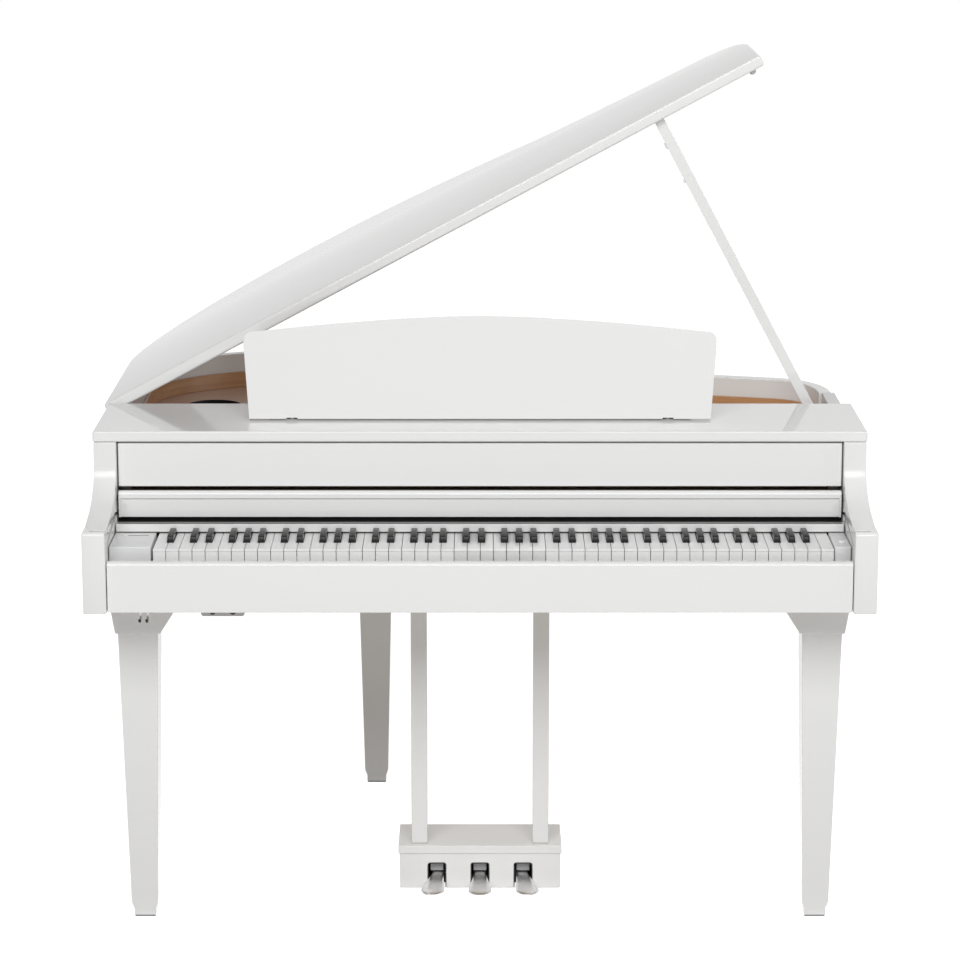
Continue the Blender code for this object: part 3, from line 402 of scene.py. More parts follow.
def rim_path():
    """Outer line of the bent wall, clockwise from the bass side."""
    return bent_line([(-SIDE_HALF, 0.9353), (-SIDE_HALF, 1.085), (-0.555, RIM_TAIL), (-0.310, RIM_TAIL),
                      (-0.125, RIM_TAIL), (0.055, 1.128), (0.193, 1.040),
                      (0.283, 0.967), (0.425, 0.929), (0.606, 0.880),
                      (0.664, 0.861), (RIM_RIGHT, 0.808), (RIM_RIGHT, 0.7153)], 20)


def bent_rim():
    bm = prism(wall_outline(rim_path(), WALL), "z", RIM_BOTTOM, RIM_TOP)
    lacquered("case_rim", bm, ["rim"], round_edges=0.0022, edge_angle=50)


bent_rim()


# The two straight sides, cut from the same lacquered board: behind, a plain wall; in front,
# an arm that grows a little wider, sweeps down in a hollow curve and has its outer edge sloped off.
# Each inner face has curved grooves for the key cover's pins, lined with black plastic.
GAP = 0.0003
INSIDE = 0.672
ARM_HALF = 0.7145
ARM_UPPER = 0.7128
BOARD_FRONT, BOARD_REAR = 0.204, 0.477
BOARD_BOTTOM = 0.910
CHEEK_TOP = 0.7858
COVER_CENTRE = (0.205, 0.200)
GUIDE_RADIUS = 0.577
COVER_RADIUS = 0.600
GROOVE_HALF = 0.0042
GROOVE_FLOOR = 0.6785


def bent_strip(radius, half_width, start, end, steps=30):
    """Outline, seen from the side, of a strip bent round the key cover's turning point."""
    return (arc(COVER_CENTRE, radius + half_width, start, end, steps)
            + arc(COVER_CENTRE, radius - half_width, end, start, steps))


def cut_groove(side, radius, start, end):
    return prism(bent_strip(radius, GROOVE_HALF, start, end), "x", *span(side, INSIDE - 0.004, GROOVE_FLOOR))


def arm_line(steps=30):
    """The hollow curve from the nose of the arm up to the board, a quarter of an ellipse."""
    nose, reach, low, high = 0.012, 0.184, CHEEK_TOP + 0.0020, 0.868
    angles = [math.pi / 2 * i / steps for i in range(steps + 1)]
    return [(nose + reach * math.sin(a), low + (high - low) * (1 - math.cos(a))) for a in angles]


def arm_profile(rear):
    line = arm_line()
    seat, behind = CHEEK_TOP + GAP, 0.1903
    points = [(behind, RIM_BOTTOM), (behind, seat), (line[0][0], seat)] + line
    top = BOARD_BOTTOM - GAP
    points += [(line[-1][0], top), (BOARD_REAR, top), (BOARD_REAR, RIM_TOP)]
    return points + [(rear, RIM_TOP), (rear, RIM_BOTTOM)]


def cut_shoulder(side):
    """The slope along the arm's outer edge, which widens from nothing towards the nose."""
    reach, widest, slope, above = 0.105, 0.0185, 0.55, 0.02
    line = [point for point in arm_line() if point[0] < reach]
    rings = []
    for d, z in [(-0.002, line[0][1])] + line:
        edge = ARM_HALF - widest * (reach - d) / reach
        inner, outer = edge - 0.003, ARM_HALF + 0.0035
        section = [(inner, z + above), (inner, z + slope * (edge - inner)),
                   (outer, z - slope * (outer - edge)), (outer, z + above)]
        rings.append([(side * x, d, height) for x, height in section])
    bm = bmesh.new()
    add_skin(bm, rings)
    return bm


ARM_LACQUER = lacquer("arm_lacquer", gloss_roughness=0.17)


def straight_side(side, name, rear):
    beyond, floor, above = 0.72, 0.6, 1.0
    hollow = block(*span(side, INSIDE - 0.012, SIDE_HALF - WALL), 0.4745, 1.0, floor, above)
    outside = [(beyond, 1.0), (SIDE_HALF, 1.0), (SIDE_HALF, BOARD_REAR), (ARM_UPPER, BOARD_REAR - 0.1),
               (ARM_UPPER, 0.110), (ARM_HALF + 0.0002, 0.040), (beyond, 0.040)]
    taper = prism([(side * x, d) for x, d in outside], "z", floor, above)
    lacquered("case_" + name, prism(arm_profile(rear), "x", *span(side, INSIDE, ARM_HALF)), [name],
              material=ARM_LACQUER, round_edges=0.0016, edge_angle=32, cuts=[hollow, taper],
              late_cuts=[cut_shoulder(side), cut_groove(side, GUIDE_RADIUS, 86.5, 91.6),
                         cut_groove(side, COVER_RADIUS, 70.5, 91.2)])


straight_side(-1, "left_side", 0.935)
straight_side(1, "right_side", 0.715)


# Cheek blocks at both ends of the keys, solid blocks whose upper front edge is well rounded.
# The front guide pins of the key cover run down into the groove in their inner faces.
def cheek_block(side, name):
    bottom, rear, r = 0.6352, 0.190, 0.0075
    outline = [(0, bottom), (rear, bottom), (rear, CHEEK_TOP)] + arc((r, CHEEK_TOP - r), r, 90, 180, 12)
    lacquered("case_" + name, prism(outline, "x", *span(side, INSIDE + 0.0012, ARM_HALF + GAP)), [name],
              round_edges=0.0020, edge_angle=40, late_cuts=[cut_groove(side, GUIDE_RADIUS, 89, 107.6)])


cheek_block(-1, "left_cheek_block")
cheek_block(1, "right_cheek_block")


# The floor of the case: two plain fibre boards screwed up into the walls, with a cross wall
# between the key compartment and the sound chamber behind it.
BOARD_LIGHT, BOARD_DARK = (0.62, 0.50, 0.37), (0.50, 0.39, 0.27)
KEYBED_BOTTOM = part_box("keybed")[0].z
BOTTOM_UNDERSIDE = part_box("case_bottom")[0].z
SCREW_RADIUS, SCREW_HEIGHT = 0.0042, 0.0018


def refinish(node, material):
    """Give a CAD node its finish and leave its shape alone."""
    nodes[node].data.materials.clear()
    nodes[node].data.materials.append(material)


def stretched(tree, place, amounts):
    """A place on the piece drawn out by three amounts, so that a pattern on it runs one way."""
    return add_node(tree, "ShaderNodeVectorMath", {0: place, 1: amounts}, operation="MULTIPLY").outputs[0]


def grain_surface():
    """Wood or fibre: streaks stretched along the grain, and short pores that dull the finish."""
    tree, given, place = surface_group("grain_surface", [
        ("Light", "Color", (0.6, 0.5, 0.4, 1)), ("Dark", "Color", (0.5, 0.4, 0.3, 1)),
        ("Stretch", "Vector", (3.0, 60.0, 60.0)), ("Pore Stretch", "Vector", (60.0, 900.0, 900.0)),
        ("Smooth Roughness", "Float", 0.35), ("Pore Roughness", "Float", 0.2)])
    streaks = noise(tree, stretched(tree, place, given["Stretch"]), scale=1.0, detail=6.0, distortion=0.8)
    pores = noise(tree, stretched(tree, place, given["Pore Stretch"]), scale=1.0, detail=2.0)
    mixed = add_node(tree, "ShaderNodeMix", {0: spread(tree, streaks, -0.4, 1.4), 6: given["Dark"],
                                             7: given["Light"]}, data_type="RGBA").outputs[2]
    rough = reckon(tree, "ADD", given["Smooth Roughness"], given["Pore Roughness"])
    add_node(tree, "NodeGroupOutput", {
        "Colour": shaded(tree, mixed, spread(tree, pores, 0.86, 1.12)),
        "Roughness": spread(tree, pores, given["Smooth Roughness"], rough), "Height": pores})
    return tree


GRAIN_SURFACE = grain_surface()


def wood(name, light, dark, stretch, smooth=0.35, bump=0.15, **shader_inputs):
    given = {"Light": (*light, 1), "Dark": (*dark, 1), "Stretch": stretch,
             "Pore Stretch": tuple(14 * s for s in stretch), "Smooth Roughness": smooth}
    return coated_material(name, GRAIN_SURFACE, given, bump=bump, bump_depth=0.0002, **shader_inputs)


FIBRE_BOARD = wood("fibre_board", BOARD_LIGHT, BOARD_DARK, (40.0, 60.0, 60.0), smooth=0.5)
for node in ("keybed", "case_bottom", "cross_wall"):
    refinish(node, FIBRE_BOARD)


def metal_surface():
    """Worked metal: hair lines stretched along one way, and a slow change of polish."""
    tree, given, place = surface_group("metal_surface", [
        ("Tone", "Color", (0.5, 0.5, 0.5, 1)), ("Stretch", "Vector", (8.0, 8.0, 800.0)),
        ("Polish", "Float", 0.2), ("Line Roughness", "Float", 0.1)])
    lines = noise(tree, stretched(tree, place, given["Stretch"]), scale=1.0, detail=3.0)
    slow = noise(tree, place, scale=30.0, detail=2.0)
    dull = reckon(tree, "ADD", given["Polish"], given["Line Roughness"])
    add_node(tree, "NodeGroupOutput", {
        "Colour": shaded(tree, given["Tone"], spread(tree, slow, 0.94, 1.05)),
        "Roughness": spread(tree, lines, given["Polish"], dull), "Height": lines})
    return tree


METAL_SURFACE = metal_surface()


def metal(name, tone, polish, line_roughness, stretch=(8.0, 8.0, 800.0), bump=0.05):
    given = {"Tone": (*tone, 1), "Polish": polish, "Line Roughness": line_roughness, "Stretch": stretch}
    return coated_material(name, METAL_SURFACE, given, bump=bump, bump_depth=0.0001, Metallic=1.0)


PLATED_STEEL = metal("plated_steel", (0.55, 0.55, 0.56), 0.24, 0.14)


def set_on_points_tree():
    """Geometry Nodes: a shape on every point, its top towards the point's facing, turned at random."""
    tree = bpy.data.node_groups.new("set_on_points", "GeometryNodeTree")
    for label, kind in (("Points", "Geometry"), ("Shape", "Object"), ("Size", "Float"),
                        ("Random Turn", "Float"), ("Seed", "Int"), ("Finish", "Material")):
        tree.interface.new_socket(label, in_out="INPUT", socket_type="NodeSocket" + kind)
    tree.interface.new_socket("Pieces", in_out="OUTPUT", socket_type="NodeSocketGeometry")
    given = add_node(tree, "NodeGroupInput").outputs
    shape = add_node(tree, "GeometryNodeObjectInfo", {"Object": given["Shape"]}).outputs["Geometry"]
    facing = add_node(tree, "GeometryNodeInputNamedAttribute", {"Name": "facing"}, data_type="FLOAT_VECTOR")
    upright = add_node(tree, "FunctionNodeAlignRotationToVector", {"Vector": facing.outputs[0]}, axis="Z")
    placed = add_node(tree, "GeometryNodeInstanceOnPoints", {
        "Points": given["Points"], "Instance": shape, "Rotation": upright.outputs[0], "Scale": given["Size"]})
    angle = add_node(tree, "FunctionNodeRandomValue", {3: given["Random Turn"], "Seed": given["Seed"]},
                     data_type="FLOAT").outputs[1]
    about = add_node(tree, "ShaderNodeCombineXYZ", {"Z": angle}).outputs[0]
    turned = add_node(tree, "GeometryNodeRotateInstances",
                      {"Instances": placed.outputs[0], "Rotation": about})
    solid = add_node(tree, "GeometryNodeRealizeInstances", {"Geometry": turned.outputs[0]})
    painted = add_node(tree, "GeometryNodeSetMaterial",
                       {"Geometry": solid.outputs[0], "Material": given["Finish"]})
    add_node(tree, "NodeGroupOutput", {"Pieces": painted.outputs[0]})
    return tree


SET_ON_POINTS = set_on_points_tree()


def set_on_points(name, places, shape, material, body, size=1.0, random_turn=0.0, edge_angle=35):
    """One mesh of a shape repeated at places, each an (x, d, z) and the way that its top faces."""
    mesh = bpy.data.meshes.new(name)
    mesh.from_pydata([row_point(*place) for place, _ in places], [], [])
    facing = mesh.attributes.new("facing", "FLOAT_VECTOR", "POINT")
    for entry, (_, way) in zip(facing.data, places):
        entry.vector = way
    obj = add_object(name, mesh)
    modifier = obj.modifiers.new("set_on_points", "NODES")
    modifier.node_group = SET_ON_POINTS
    values = {"Shape": shape, "Size": size, "Random Turn": random_turn, "Seed": 5, "Finish": material}
    for item in SET_ON_POINTS.interface.items_tree:
        if item.in_out == "INPUT" and item.name in values:
            modifier[item.identifier] = values[item.name]
    applied(obj)
    smooth_between(obj, edge_angle)
    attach(obj, body)
    return obj


def add_turned(bm, profile, centre=(0.0, 0.0), steps=48):
    """Add a turned solid about a vertical line; the profile runs (radius, z) from axis to axis."""
    rings = []
    for radius, z in profile:
        ring = circle(centre, radius, steps) if radius else [centre]
        rings.append([bm.verts.new((*point, z)) for point in ring])
    for upper, lower in zip(rings, rings[1:]):
        for i in range(steps):
            j = (i + 1) % steps
            face = [ring[k % len(ring)] for ring, k in ((upper, i), (upper, j), (lower, j), (lower, i))]
            bm.faces.new(list(dict.fromkeys(face)))


def screw_shape():
    """A pan head with a cross recess, kept out of sight as the shape to repeat."""
    head = bmesh.new()
    r, h = SCREW_RADIUS, SCREW_HEIGHT
    profile = [(0, h), (0.55 * r, 0.96 * h), (0.88 * r, 0.7 * h), (r, 0.25 * h), (r, 0), (0, 0)]
    add_turned(head, profile, steps=16)
    obj = mesh_object("screw_shape", head)
    carve(obj, [block(-wide * r, wide * r, -deep * r, deep * r, 0.45 * h, 2 * h)
                for wide, deep in ((0.5, 0.12), (0.12, 0.5))])
    bpy.context.scene.collection.objects.unlink(obj)
    return obj


SCREW = screw_shape()
down = (0, 0, -1)
board_screws = [((x, d, KEYBED_BOTTOM), down) for x in (-0.46, -0.23, 0.0, 0.23, 0.46) for d in (0.05, 0.455)]
board_screws += [((x, 0.490, BOTTOM_UNDERSIDE), down) for x in (-0.58, -0.35, -0.12, 0.12, 0.35, 0.58)]
rim_middle = offset_path(rim_path(), 0.045)
board_screws += [((*rim_middle[i], BOTTOM_UNDERSIDE), down) for i in range(6, 80, 8)]
set_on_points("case_screws", board_screws, SCREW, PLATED_STEEL, "case", random_turn=1.5)


# The sound deck: veneered board a little below the rim, with a round hole over each speaker.
# A strip of the same veneer, stained warmer, runs round the foot of the wall above it.
DECK_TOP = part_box("deck")[1].z
DECK_THICK = 0.012
BAND_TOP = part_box("inner_rim_band")[1].z + 0.005
BAND_THICK = 0.005
SPEAKERS = ((-0.552, 0.950), (0.450, 0.700))
HOLE_RADIUS = 0.0575


def well_outline(front):
    """Plan of what lies between the case walls behind a given depth."""
    left = -(SIDE_HALF - WALL - GAP)
    inner = [(max(x, left), d) for x, d in offset_path(rim_path(), WALL + GAP)]
    return [(left, front)] + inner + [(inner[-1][0], front)]


def sound_deck():
    below, above = 0.80, 0.85
    holes = [prism(circle(place, HOLE_RADIUS, 96), "z", below, above) for place in SPEAKERS]
    veneer = wood("deck_veneer", (0.66, 0.47, 0.37), (0.54, 0.36, 0.27), (2.0, 34.0, 34.0), smooth=0.22,
                  Coat_Weight=0.3, Coat_Roughness=0.15)
    bm = prism(well_outline(0.4925), "z", DECK_TOP - DECK_THICK, DECK_TOP)
    piece("sound_deck", bm, veneer, "case", ["deck"], round_edges=0.0008, segments=2, edge_angle=50,
                  cuts=holes)


def rim_band():
    veneer = wood("band_veneer", (0.60, 0.335, 0.160), (0.43, 0.215, 0.092), (3.0, 3.0, 110.0), smooth=0.2,
                  Coat_Weight=0.4, Coat_Roughness=0.12)
    bm = prism(wall_outline(well_outline(0.4955), BAND_THICK), "z", DECK_TOP + GAP, BAND_TOP)
    piece("inner_veneer_band", bm, veneer, "case", ["inner_rim_band"], round_edges=0.0008, segments=2,
                  edge_angle=50)


sound_deck()
rim_band()


# Two full-range speakers hang under the holes: paper cone with a rolled rubber edge and a domed
# dust cap, in a pressed steel basket with its magnet below. A thin black ring lines the wall of each
# hole; its black is painted shade inside the hole.
CAP_RADIUS = 0.0165
ROLL_MIDDLE, ROLL_HALF = 0.0515, 0.0055


def moulded_surface():
    """Moulded plastic, paper or rubber: fine grain and a faint mottle."""
    tree, given, place = surface_group("moulded_surface", [
        ("Tone", "Color", (0.5, 0.5, 0.5, 1)), ("Grain Size", "Float", 0.0008), ("Mottle", "Float", 0.03),
        ("Dull", "Float", 0.4), ("Grain Roughness", "Float", 0.12)])
    grain = noise(tree, place, scale=reckon(tree, "DIVIDE", 1.0, given["Grain Size"]), detail=2.0)
    slow = noise(tree, place, scale=14.0, detail=3.0)
    low = reckon(tree, "SUBTRACT", 1.0, given["Mottle"])
    high = reckon(tree, "ADD", 1.0, given["Mottle"])
    top = reckon(tree, "ADD", given["Dull"], given["Grain Roughness"])
    add_node(tree, "NodeGroupOutput", {
        "Colour": shaded(tree, given["Tone"], spread(tree, slow, low, high)),
        "Roughness": spread(tree, grain, given["Dull"], top), "Height": grain})
    return tree


MOULDED_SURFACE = moulded_surface()


def moulded(name, tone, dull=0.4, grain_size=0.0008, bump=0.12, mottle=0.03, **shader_inputs):
    given = {"Tone": (*tone, 1), "Dull": dull, "Grain Size": grain_size, "Mottle": mottle}
    return coated_material(name, MOULDED_SURFACE, given, bump=bump, bump_depth=0.0002, **shader_inputs)


SPEAKER_PAPER = moulded("speaker_paper", (0.014, 0.014, 0.015), dull=0.55, grain_size=0.0012, bump=0.3)
DARK_RESIN = moulded("dark_resin", (0.012, 0.012, 0.013), dull=0.42)


def speaker(node, x, d):
    top = DECK_TOP - DECK_THICK - GAP
    cap = [(CAP_RADIUS * math.sin(a), top - 0.022 + 0.0075 * math.cos(a))
           for a in [i * math.pi / 16 for i in range(9)]]
    cone = [(CAP_RADIUS + 0.029 * t, top - 0.020 + 0.0165 * t ** 0.8) for t in [i / 6 for i in range(1, 7)]]
    roll = [(ROLL_MIDDLE - ROLL_HALF * math.cos(a), top - 0.0035 + 0.0030 * math.sin(a))
            for a in [i * math.pi / 8 for i in range(9)]]
    basket = [(0.0575, top - 0.0035), (0.0580, top), (0.0660, top), (0.0665, top - 0.0015),
              (0.0655, top - 0.003), (0.0590, top - 0.0035), (0.0540, top - 0.016),
              (0.0440, top - 0.040), (0.0430, top - 0.0405)]
    magnet = [(0.0430, top - 0.0640), (0.0415, top - 0.0655), (0, top - 0.0655)]
    bm = bmesh.new()
    add_turned(bm, cap + cone + roll + basket + magnet, (x, d), 72)
    piece(node + "_driver", bm, SPEAKER_PAPER, "case", [node])
    # A black ring on the wall of the hole: painted shade inside the hole.
    trim = prism(circle((x, d), HOLE_RADIUS - GAP, 96), "z", top + 2 * GAP, DECK_TOP + 2 * GAP)
    bore = prism(circle((x, d), HOLE_RADIUS - 0.0018, 96), "z", top - 0.01, DECK_TOP + 0.01)
    piece(node + "_trim", trim, DARK_RESIN, "case", cuts=[bore])


for node, place in zip(("speaker_left", "speaker_right"), SPEAKERS):
    speaker(node, *place)


# The electronics under the deck: a green circuit board on spacers, and the mains inlet that
# is let into the bottom of the case from below.
def circuit_board_material():
    """Solder mask with straight copper tracks that show through it."""
    material = moulded("solder_mask", (0.012, 0.11, 0.045), dull=0.28, bump=0.1)
    tree = material.node_tree
    base = tree.nodes["Principled BSDF"].inputs["Base Color"]
    place = add_node(tree, "ShaderNodeTexCoord").outputs["Object"]
    tracks = add_node(tree, "ShaderNodeTexBrick", {
        "Vector": place, "Scale": 160.0, "Mortar Size": 0.06, "Color1": (0, 0, 0, 1), "Color2": (0, 0, 0, 1),
        "Mortar": (1, 1, 1, 1)}).outputs["Color"]
    mixed = add_node(tree, "ShaderNodeMix", {0: tracks, 6: base.links[0].from_socket,
                                             7: (0.03, 0.22, 0.09, 1)}, data_type="RGBA")
    tree.links.new(mixed.outputs[2], base)
    return material


refinish("main_board", circuit_board_material())
refinish("power_inlet", DARK_RESIN)


# The key slip: a lacquered rail that hides the front of the key frame, its top edge well rounded.
# End blocks of satin white plastic fill the space between the last keys and the cheeks, and
# black dust brushes close the volume slot in the left one.
INNER_HALF = 0.6717
SLIP_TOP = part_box("key_slip")[1].z
KEYBED_TOP = 0.6553
KEY_TOP = 0.745
KEY_FRONT = 0.044
BLOCK_TOP = 0.7470
SATIN_WHITE = moulded("satin_white", (0.74, 0.74, 0.745), dull=0.3, bump=0.05)


def key_slip():
    front, rear, r, chamfer = 0.008, 0.0262, 0.0075, 0.002
    bottom = KEYBED_BOTTOM - 0.0008
    points = [(front, bottom), (rear, bottom), (rear, SLIP_TOP - chamfer), (rear - chamfer, SLIP_TOP)]
    points += arc((front + r, SLIP_TOP - r), r, 90, 180, 12)
    lacquered("front_key_slip", prism(points, "x", -INNER_HALF, INNER_HALF), ["key_slip"], round_edges=0.0008,
              segments=2, edge_angle=40)


def end_block_profile():
    front, rear, r = KEY_FRONT + 0.010, 0.1680, 0.0014
    points = [(front, KEYBED_TOP), (rear, KEYBED_TOP), (rear, BLOCK_TOP)]
    return points + arc((front + r, BLOCK_TOP - r), r, 90, 180, 6)


LEFT_BLOCK_EDGE, RIGHT_BLOCK_EDGE = -0.5965, 0.6425
BUTTON = (0.6590, 0.094)
BUTTON_RADIUS = 0.0072
SLOT_D, SLOT_LEFT, SLOT_RIGHT = 0.145, -0.658, -0.608
SLOT_WIDE = 0.0022
SLOT_DEEP = 0.006
BUTTON_DOME = 0.0030


def left_end_block():
    bm = prism(end_block_profile(), "x", -INNER_HALF, LEFT_BLOCK_EDGE)
    slot = block(SLOT_LEFT, SLOT_RIGHT, SLOT_D - SLOT_WIDE, SLOT_D + SLOT_WIDE, BLOCK_TOP - SLOT_DEEP,
                 BLOCK_TOP + 0.01)
    piece("left_key_block", bm, SATIN_WHITE, "case", ["left_end_block"], round_edges=0.0010,
                  segments=3, edge_angle=40, late_cuts=[slot])


def slot_brushes():
    """Two black brushes that close the slot, with a narrow way for the slider between them."""
    thin = 0.0001
    brushes = bmesh.new()
    for side in (-1, 1):
        near, far = sorted((SLOT_D + side * 0.0009, SLOT_D + side * (SLOT_WIDE - thin)))
        add_block(brushes, SLOT_LEFT + thin, SLOT_RIGHT - thin, near, far, BLOCK_TOP - SLOT_DEEP + thin,
                  BLOCK_TOP - GAP)
    piece("volume_slot_brushes", brushes, DARK_RESIN, "case")


def right_end_block():
    bm = prism(end_block_profile(), "x", RIGHT_BLOCK_EDGE, INNER_HALF)
    well = prism(circle(BUTTON, BUTTON_RADIUS + 0.0006, 48), "z", BLOCK_TOP - 0.010, BLOCK_TOP + 0.01)
    piece("right_key_block", bm, SATIN_WHITE, "case", ["right_end_block"], round_edges=0.0010,
                  segments=3, edge_angle=40, late_cuts=[well])


key_slip()
left_end_block()
slot_brushes()
right_end_block()


# The controls: a domed power button in a round well with a small lamp behind it, and a volume
# slider whose pointed cap runs along the slot in the left block.
LAMP = (0.6560, 0.128)


def power_button():
    bottom, top, r = BLOCK_TOP - 0.006, BLOCK_TOP + 0.0032, BUTTON_RADIUS
    dome = [(r * math.sin(a), top - BUTTON_DOME * (1 - math.cos(a)))
            for a in [i * math.pi / 24 for i in range(12)]]
    bm = bmesh.new()
    add_turned(bm, dome + [(r, top - BUTTON_DOME - 0.0006), (r, bottom), (0, bottom)], BUTTON, 48)
    gloss = moulded("button_white", (0.86, 0.86, 0.86), dull=0.10, bump=0.0)
    piece("power_button_cap", bm, gloss, "power_button", ["power_button"], edge_angle=50)


def power_lamp():
    r, top, bottom = 0.0017, BLOCK_TOP + 0.0007, BLOCK_TOP + 0.0001
    profile = [(0, top), (0.0011, top - 0.0002), (r, top - 0.0005), (r, bottom), (0, bottom)]
    bm = bmesh.new()
    add_turned(bm, profile, LAMP, 24)
    piece("power_lamp", bm, moulded("lamp_lens", (0.86, 0.86, 0.86), dull=0.1, bump=0.0), "case")


def volume_slider():
    start, half = SLOT_LEFT + 0.007, 0.005
    bm = block(start - 0.004, start + 0.004, SLOT_D - 0.0007, SLOT_D + 0.0007, BLOCK_TOP - 0.005,
               BLOCK_TOP + 0.0010)
    piece("volume_stem", bm, SATIN_WHITE, "volume_slider", ["volume_slider"])
    foot, shoulder, ridge = BLOCK_TOP + GAP, BLOCK_TOP + 0.0016, BLOCK_TOP + 0.0030
    outline = [(SLOT_D - 0.0035, foot), (SLOT_D + 0.0035, foot), (SLOT_D + 0.0030, shoulder),
               (SLOT_D + 0.0006, ridge), (SLOT_D - 0.0006, ridge), (SLOT_D - 0.0030, shoulder)]
    piece("volume_cap", prism(outline, "x", start - half, start + half), SATIN_WHITE, "volume_slider",
                  ["volume_slider"], round_edges=0.0004, segments=2)


power_button()
power_lamp()
volume_slider()


# The key frame stands on the keybed: a moulded frame with a felted front rail, and at the back
# a steel rod on which the free keys rock. A bar behind it carries the sticks of the sharps.
KEY_PITCH = 0.0237
KEYS_LEFT = -0.5920
WHITE_COUNT = 52
KEY_REAR = 0.285
KEY_PIVOT = (0.276, 0.7229)
FRAME_TOP = 0.7227
KEY_SPACE = 0.0005
ROD_RADIUS, ROD_ROOM = 0.0026, 0.0029
FREE_FIRST = 23
KEY_NAMES = ("c4", "d4", "e4", "f4", "g4", "a4", "b4")
FREE_KEYS = range(FREE_FIRST, FREE_FIRST + len(KEY_NAMES))


def key_edge(index):
    return KEYS_LEFT + KEY_PITCH * index


def felt(name, tone, bump=0.5):
    return moulded(name, tone, dull=0.85, grain_size=0.0009, bump=bump, mottle=0.15)


FREE_SPAN = (key_edge(FREE_FIRST), key_edge(FREE_FIRST + len(KEY_NAMES)))
FELT_RED = felt("felt_red", (0.22, 0.03, 0.035), bump=0.6)
FELT_DARK = felt("felt_dark", (0.010, 0.010, 0.010))


def key_frame():
    left, right = KEYS_LEFT + KEY_SPACE, key_edge(WHITE_COUNT) - KEY_SPACE
    front, rear, web, rail_top = 0.060, 0.300, 0.664, 0.7045
    profile = [(front, KEYBED_TOP), (rear, KEYBED_TOP), (rear, FRAME_TOP), (0.262, FRAME_TOP), (0.258, web),
               (0.118, web), (0.115, rail_top), (0.090, rail_top), (0.087, web), (front, web)]
    ridge, hollow, above = KEY_PIVOT[0] - 0.001, 0.7155, FRAME_TOP + 0.001
    wedge = prism([(0.25, above), (0.25, hollow), (0.2615, hollow), (ridge, FRAME_TOP), (ridge, above)],
                  "x", *FREE_SPAN)
    rod_seat = prism(circle(KEY_PIVOT, ROD_RADIUS + 0.0001, 24), "x", *FREE_SPAN)
    piece("key_frame", prism(profile, "x", left, right), moulded("frame_grey", (0.30, 0.30, 0.30)),
                  "case", ["white_keys"], cuts=[wedge, rod_seat])
    rod = prism(circle(KEY_PIVOT, ROD_RADIUS, 24), "x", FREE_SPAN[0] + 0.001, FREE_SPAN[1] - 0.001)
    piece("key_pivot_rod", rod, PLATED_STEEL, "case")
    piece("front_rail_felt", block(left, right, 0.0905, 0.1145, rail_top + 0.0002, 0.7060), FELT_RED, "case")


key_frame()


# The white keys: moulded resin with an ivory-like grain, each with a thin lip over its front
# and the notches that let the black keys through. One octave is free to play.
BLACK_HALF = 0.0060
NOTCH_FRONT = 0.0960
SHARP_OFFSETS = {0: -0.0023, 1: 0.0023, 3: -0.0030, 4: 0.0, 5: 0.0030}
LIP = 0.0010
KEY_UNDER = 0.7230


def sharp_centre(index):
    """Middle of the black key to the right of a white key, or None; the keyboard starts on A."""
    offset = SHARP_OFFSETS.get((index + 5) % 7)
    if offset is None or not 0 <= index < WHITE_COUNT - 1:
        return None
    return key_edge(index + 1) + offset


def white_outline(index):
    left, right = key_edge(index) + KEY_SPACE, key_edge(index + 1) - KEY_SPACE
    clearance = BLACK_HALF + 0.0007
    before, after = sharp_centre(index - 1), sharp_centre(index)
    points = [(left, KEY_FRONT), (right, KEY_FRONT)]
    if after is None:
        points.append((right, KEY_REAR))
    else:
        points += [(right, NOTCH_FRONT), (after - clearance, NOTCH_FRONT), (after - clearance, KEY_REAR)]
    if before is None:
        points.append((left, KEY_REAR))
    else:
        points += [(before + clearance, KEY_REAR), (before + clearance, NOTCH_FRONT), (left, NOTCH_FRONT)]
    return points


def add_white_key(bm, index):
    outline = white_outline(index)
    set_back = [(x, d + LIP if i < 2 else d) for i, (x, d) in enumerate(outline)]
    levels = [(KEY_UNDER, set_back), (KEY_TOP - 0.0042, set_back), (KEY_TOP - 0.0036, outline),
              (KEY_TOP, outline)]
    add_skin(bm, [[(x, d, z) for x, d in points] for z, points in levels])


def rod_room():
    """The hollow under a free key that it rocks on."""
    return prism(circle(KEY_PIVOT, ROD_ROOM, 24), "x", *FREE_SPAN)


IVORY = moulded("ivory_resin", (0.86, 0.86, 0.855), dull=0.26, grain_size=0.0006, bump=0.06, mottle=0.015)
fixed_keys = bmesh.new()
for index in range(WHITE_COUNT):
    if index not in FREE_KEYS:
        add_white_key(fixed_keys, index)
piece("fixed_white_keys", fixed_keys, IVORY, "case", ["white_keys"], round_edges=0.0007, segments=2,
              edge_angle=40)
for index, name in zip(FREE_KEYS, KEY_NAMES):
    bm = bmesh.new()
    add_white_key(bm, index)
    piece("white_key_" + name, bm, IVORY, "key_" + name, ["key_" + name], round_edges=0.0007,
                  segments=2, edge_angle=40, late_cuts=[rod_room()])


# The black keys: smooth moulded caps, narrower at the top and sloped at the front, on sticks
# that run back under the rail. The fixed ones are one shape set along the keyboard.
BLACK_TOP = 0.7565
BLACK_FRONT = 0.0985
BLACK_REAR = 0.1660
BLACK_TAPER = 0.92
BLACK_ROUND = (0.0014, 3, 25)
STICK_BOTTOM, STICK_TOP, STICK_REAR = 0.7300, 0.7466, 0.2880
SHARP_NAMES = {0: "cs4", 1: "ds4", 3: "fs4", 4: "gs4", 5: "as4"}
EBONY = moulded("ebony_resin", (0.006, 0.006, 0.007), dull=0.14, grain_size=0.0006, bump=0.02,
                Specular_IOR_Level=0.24)


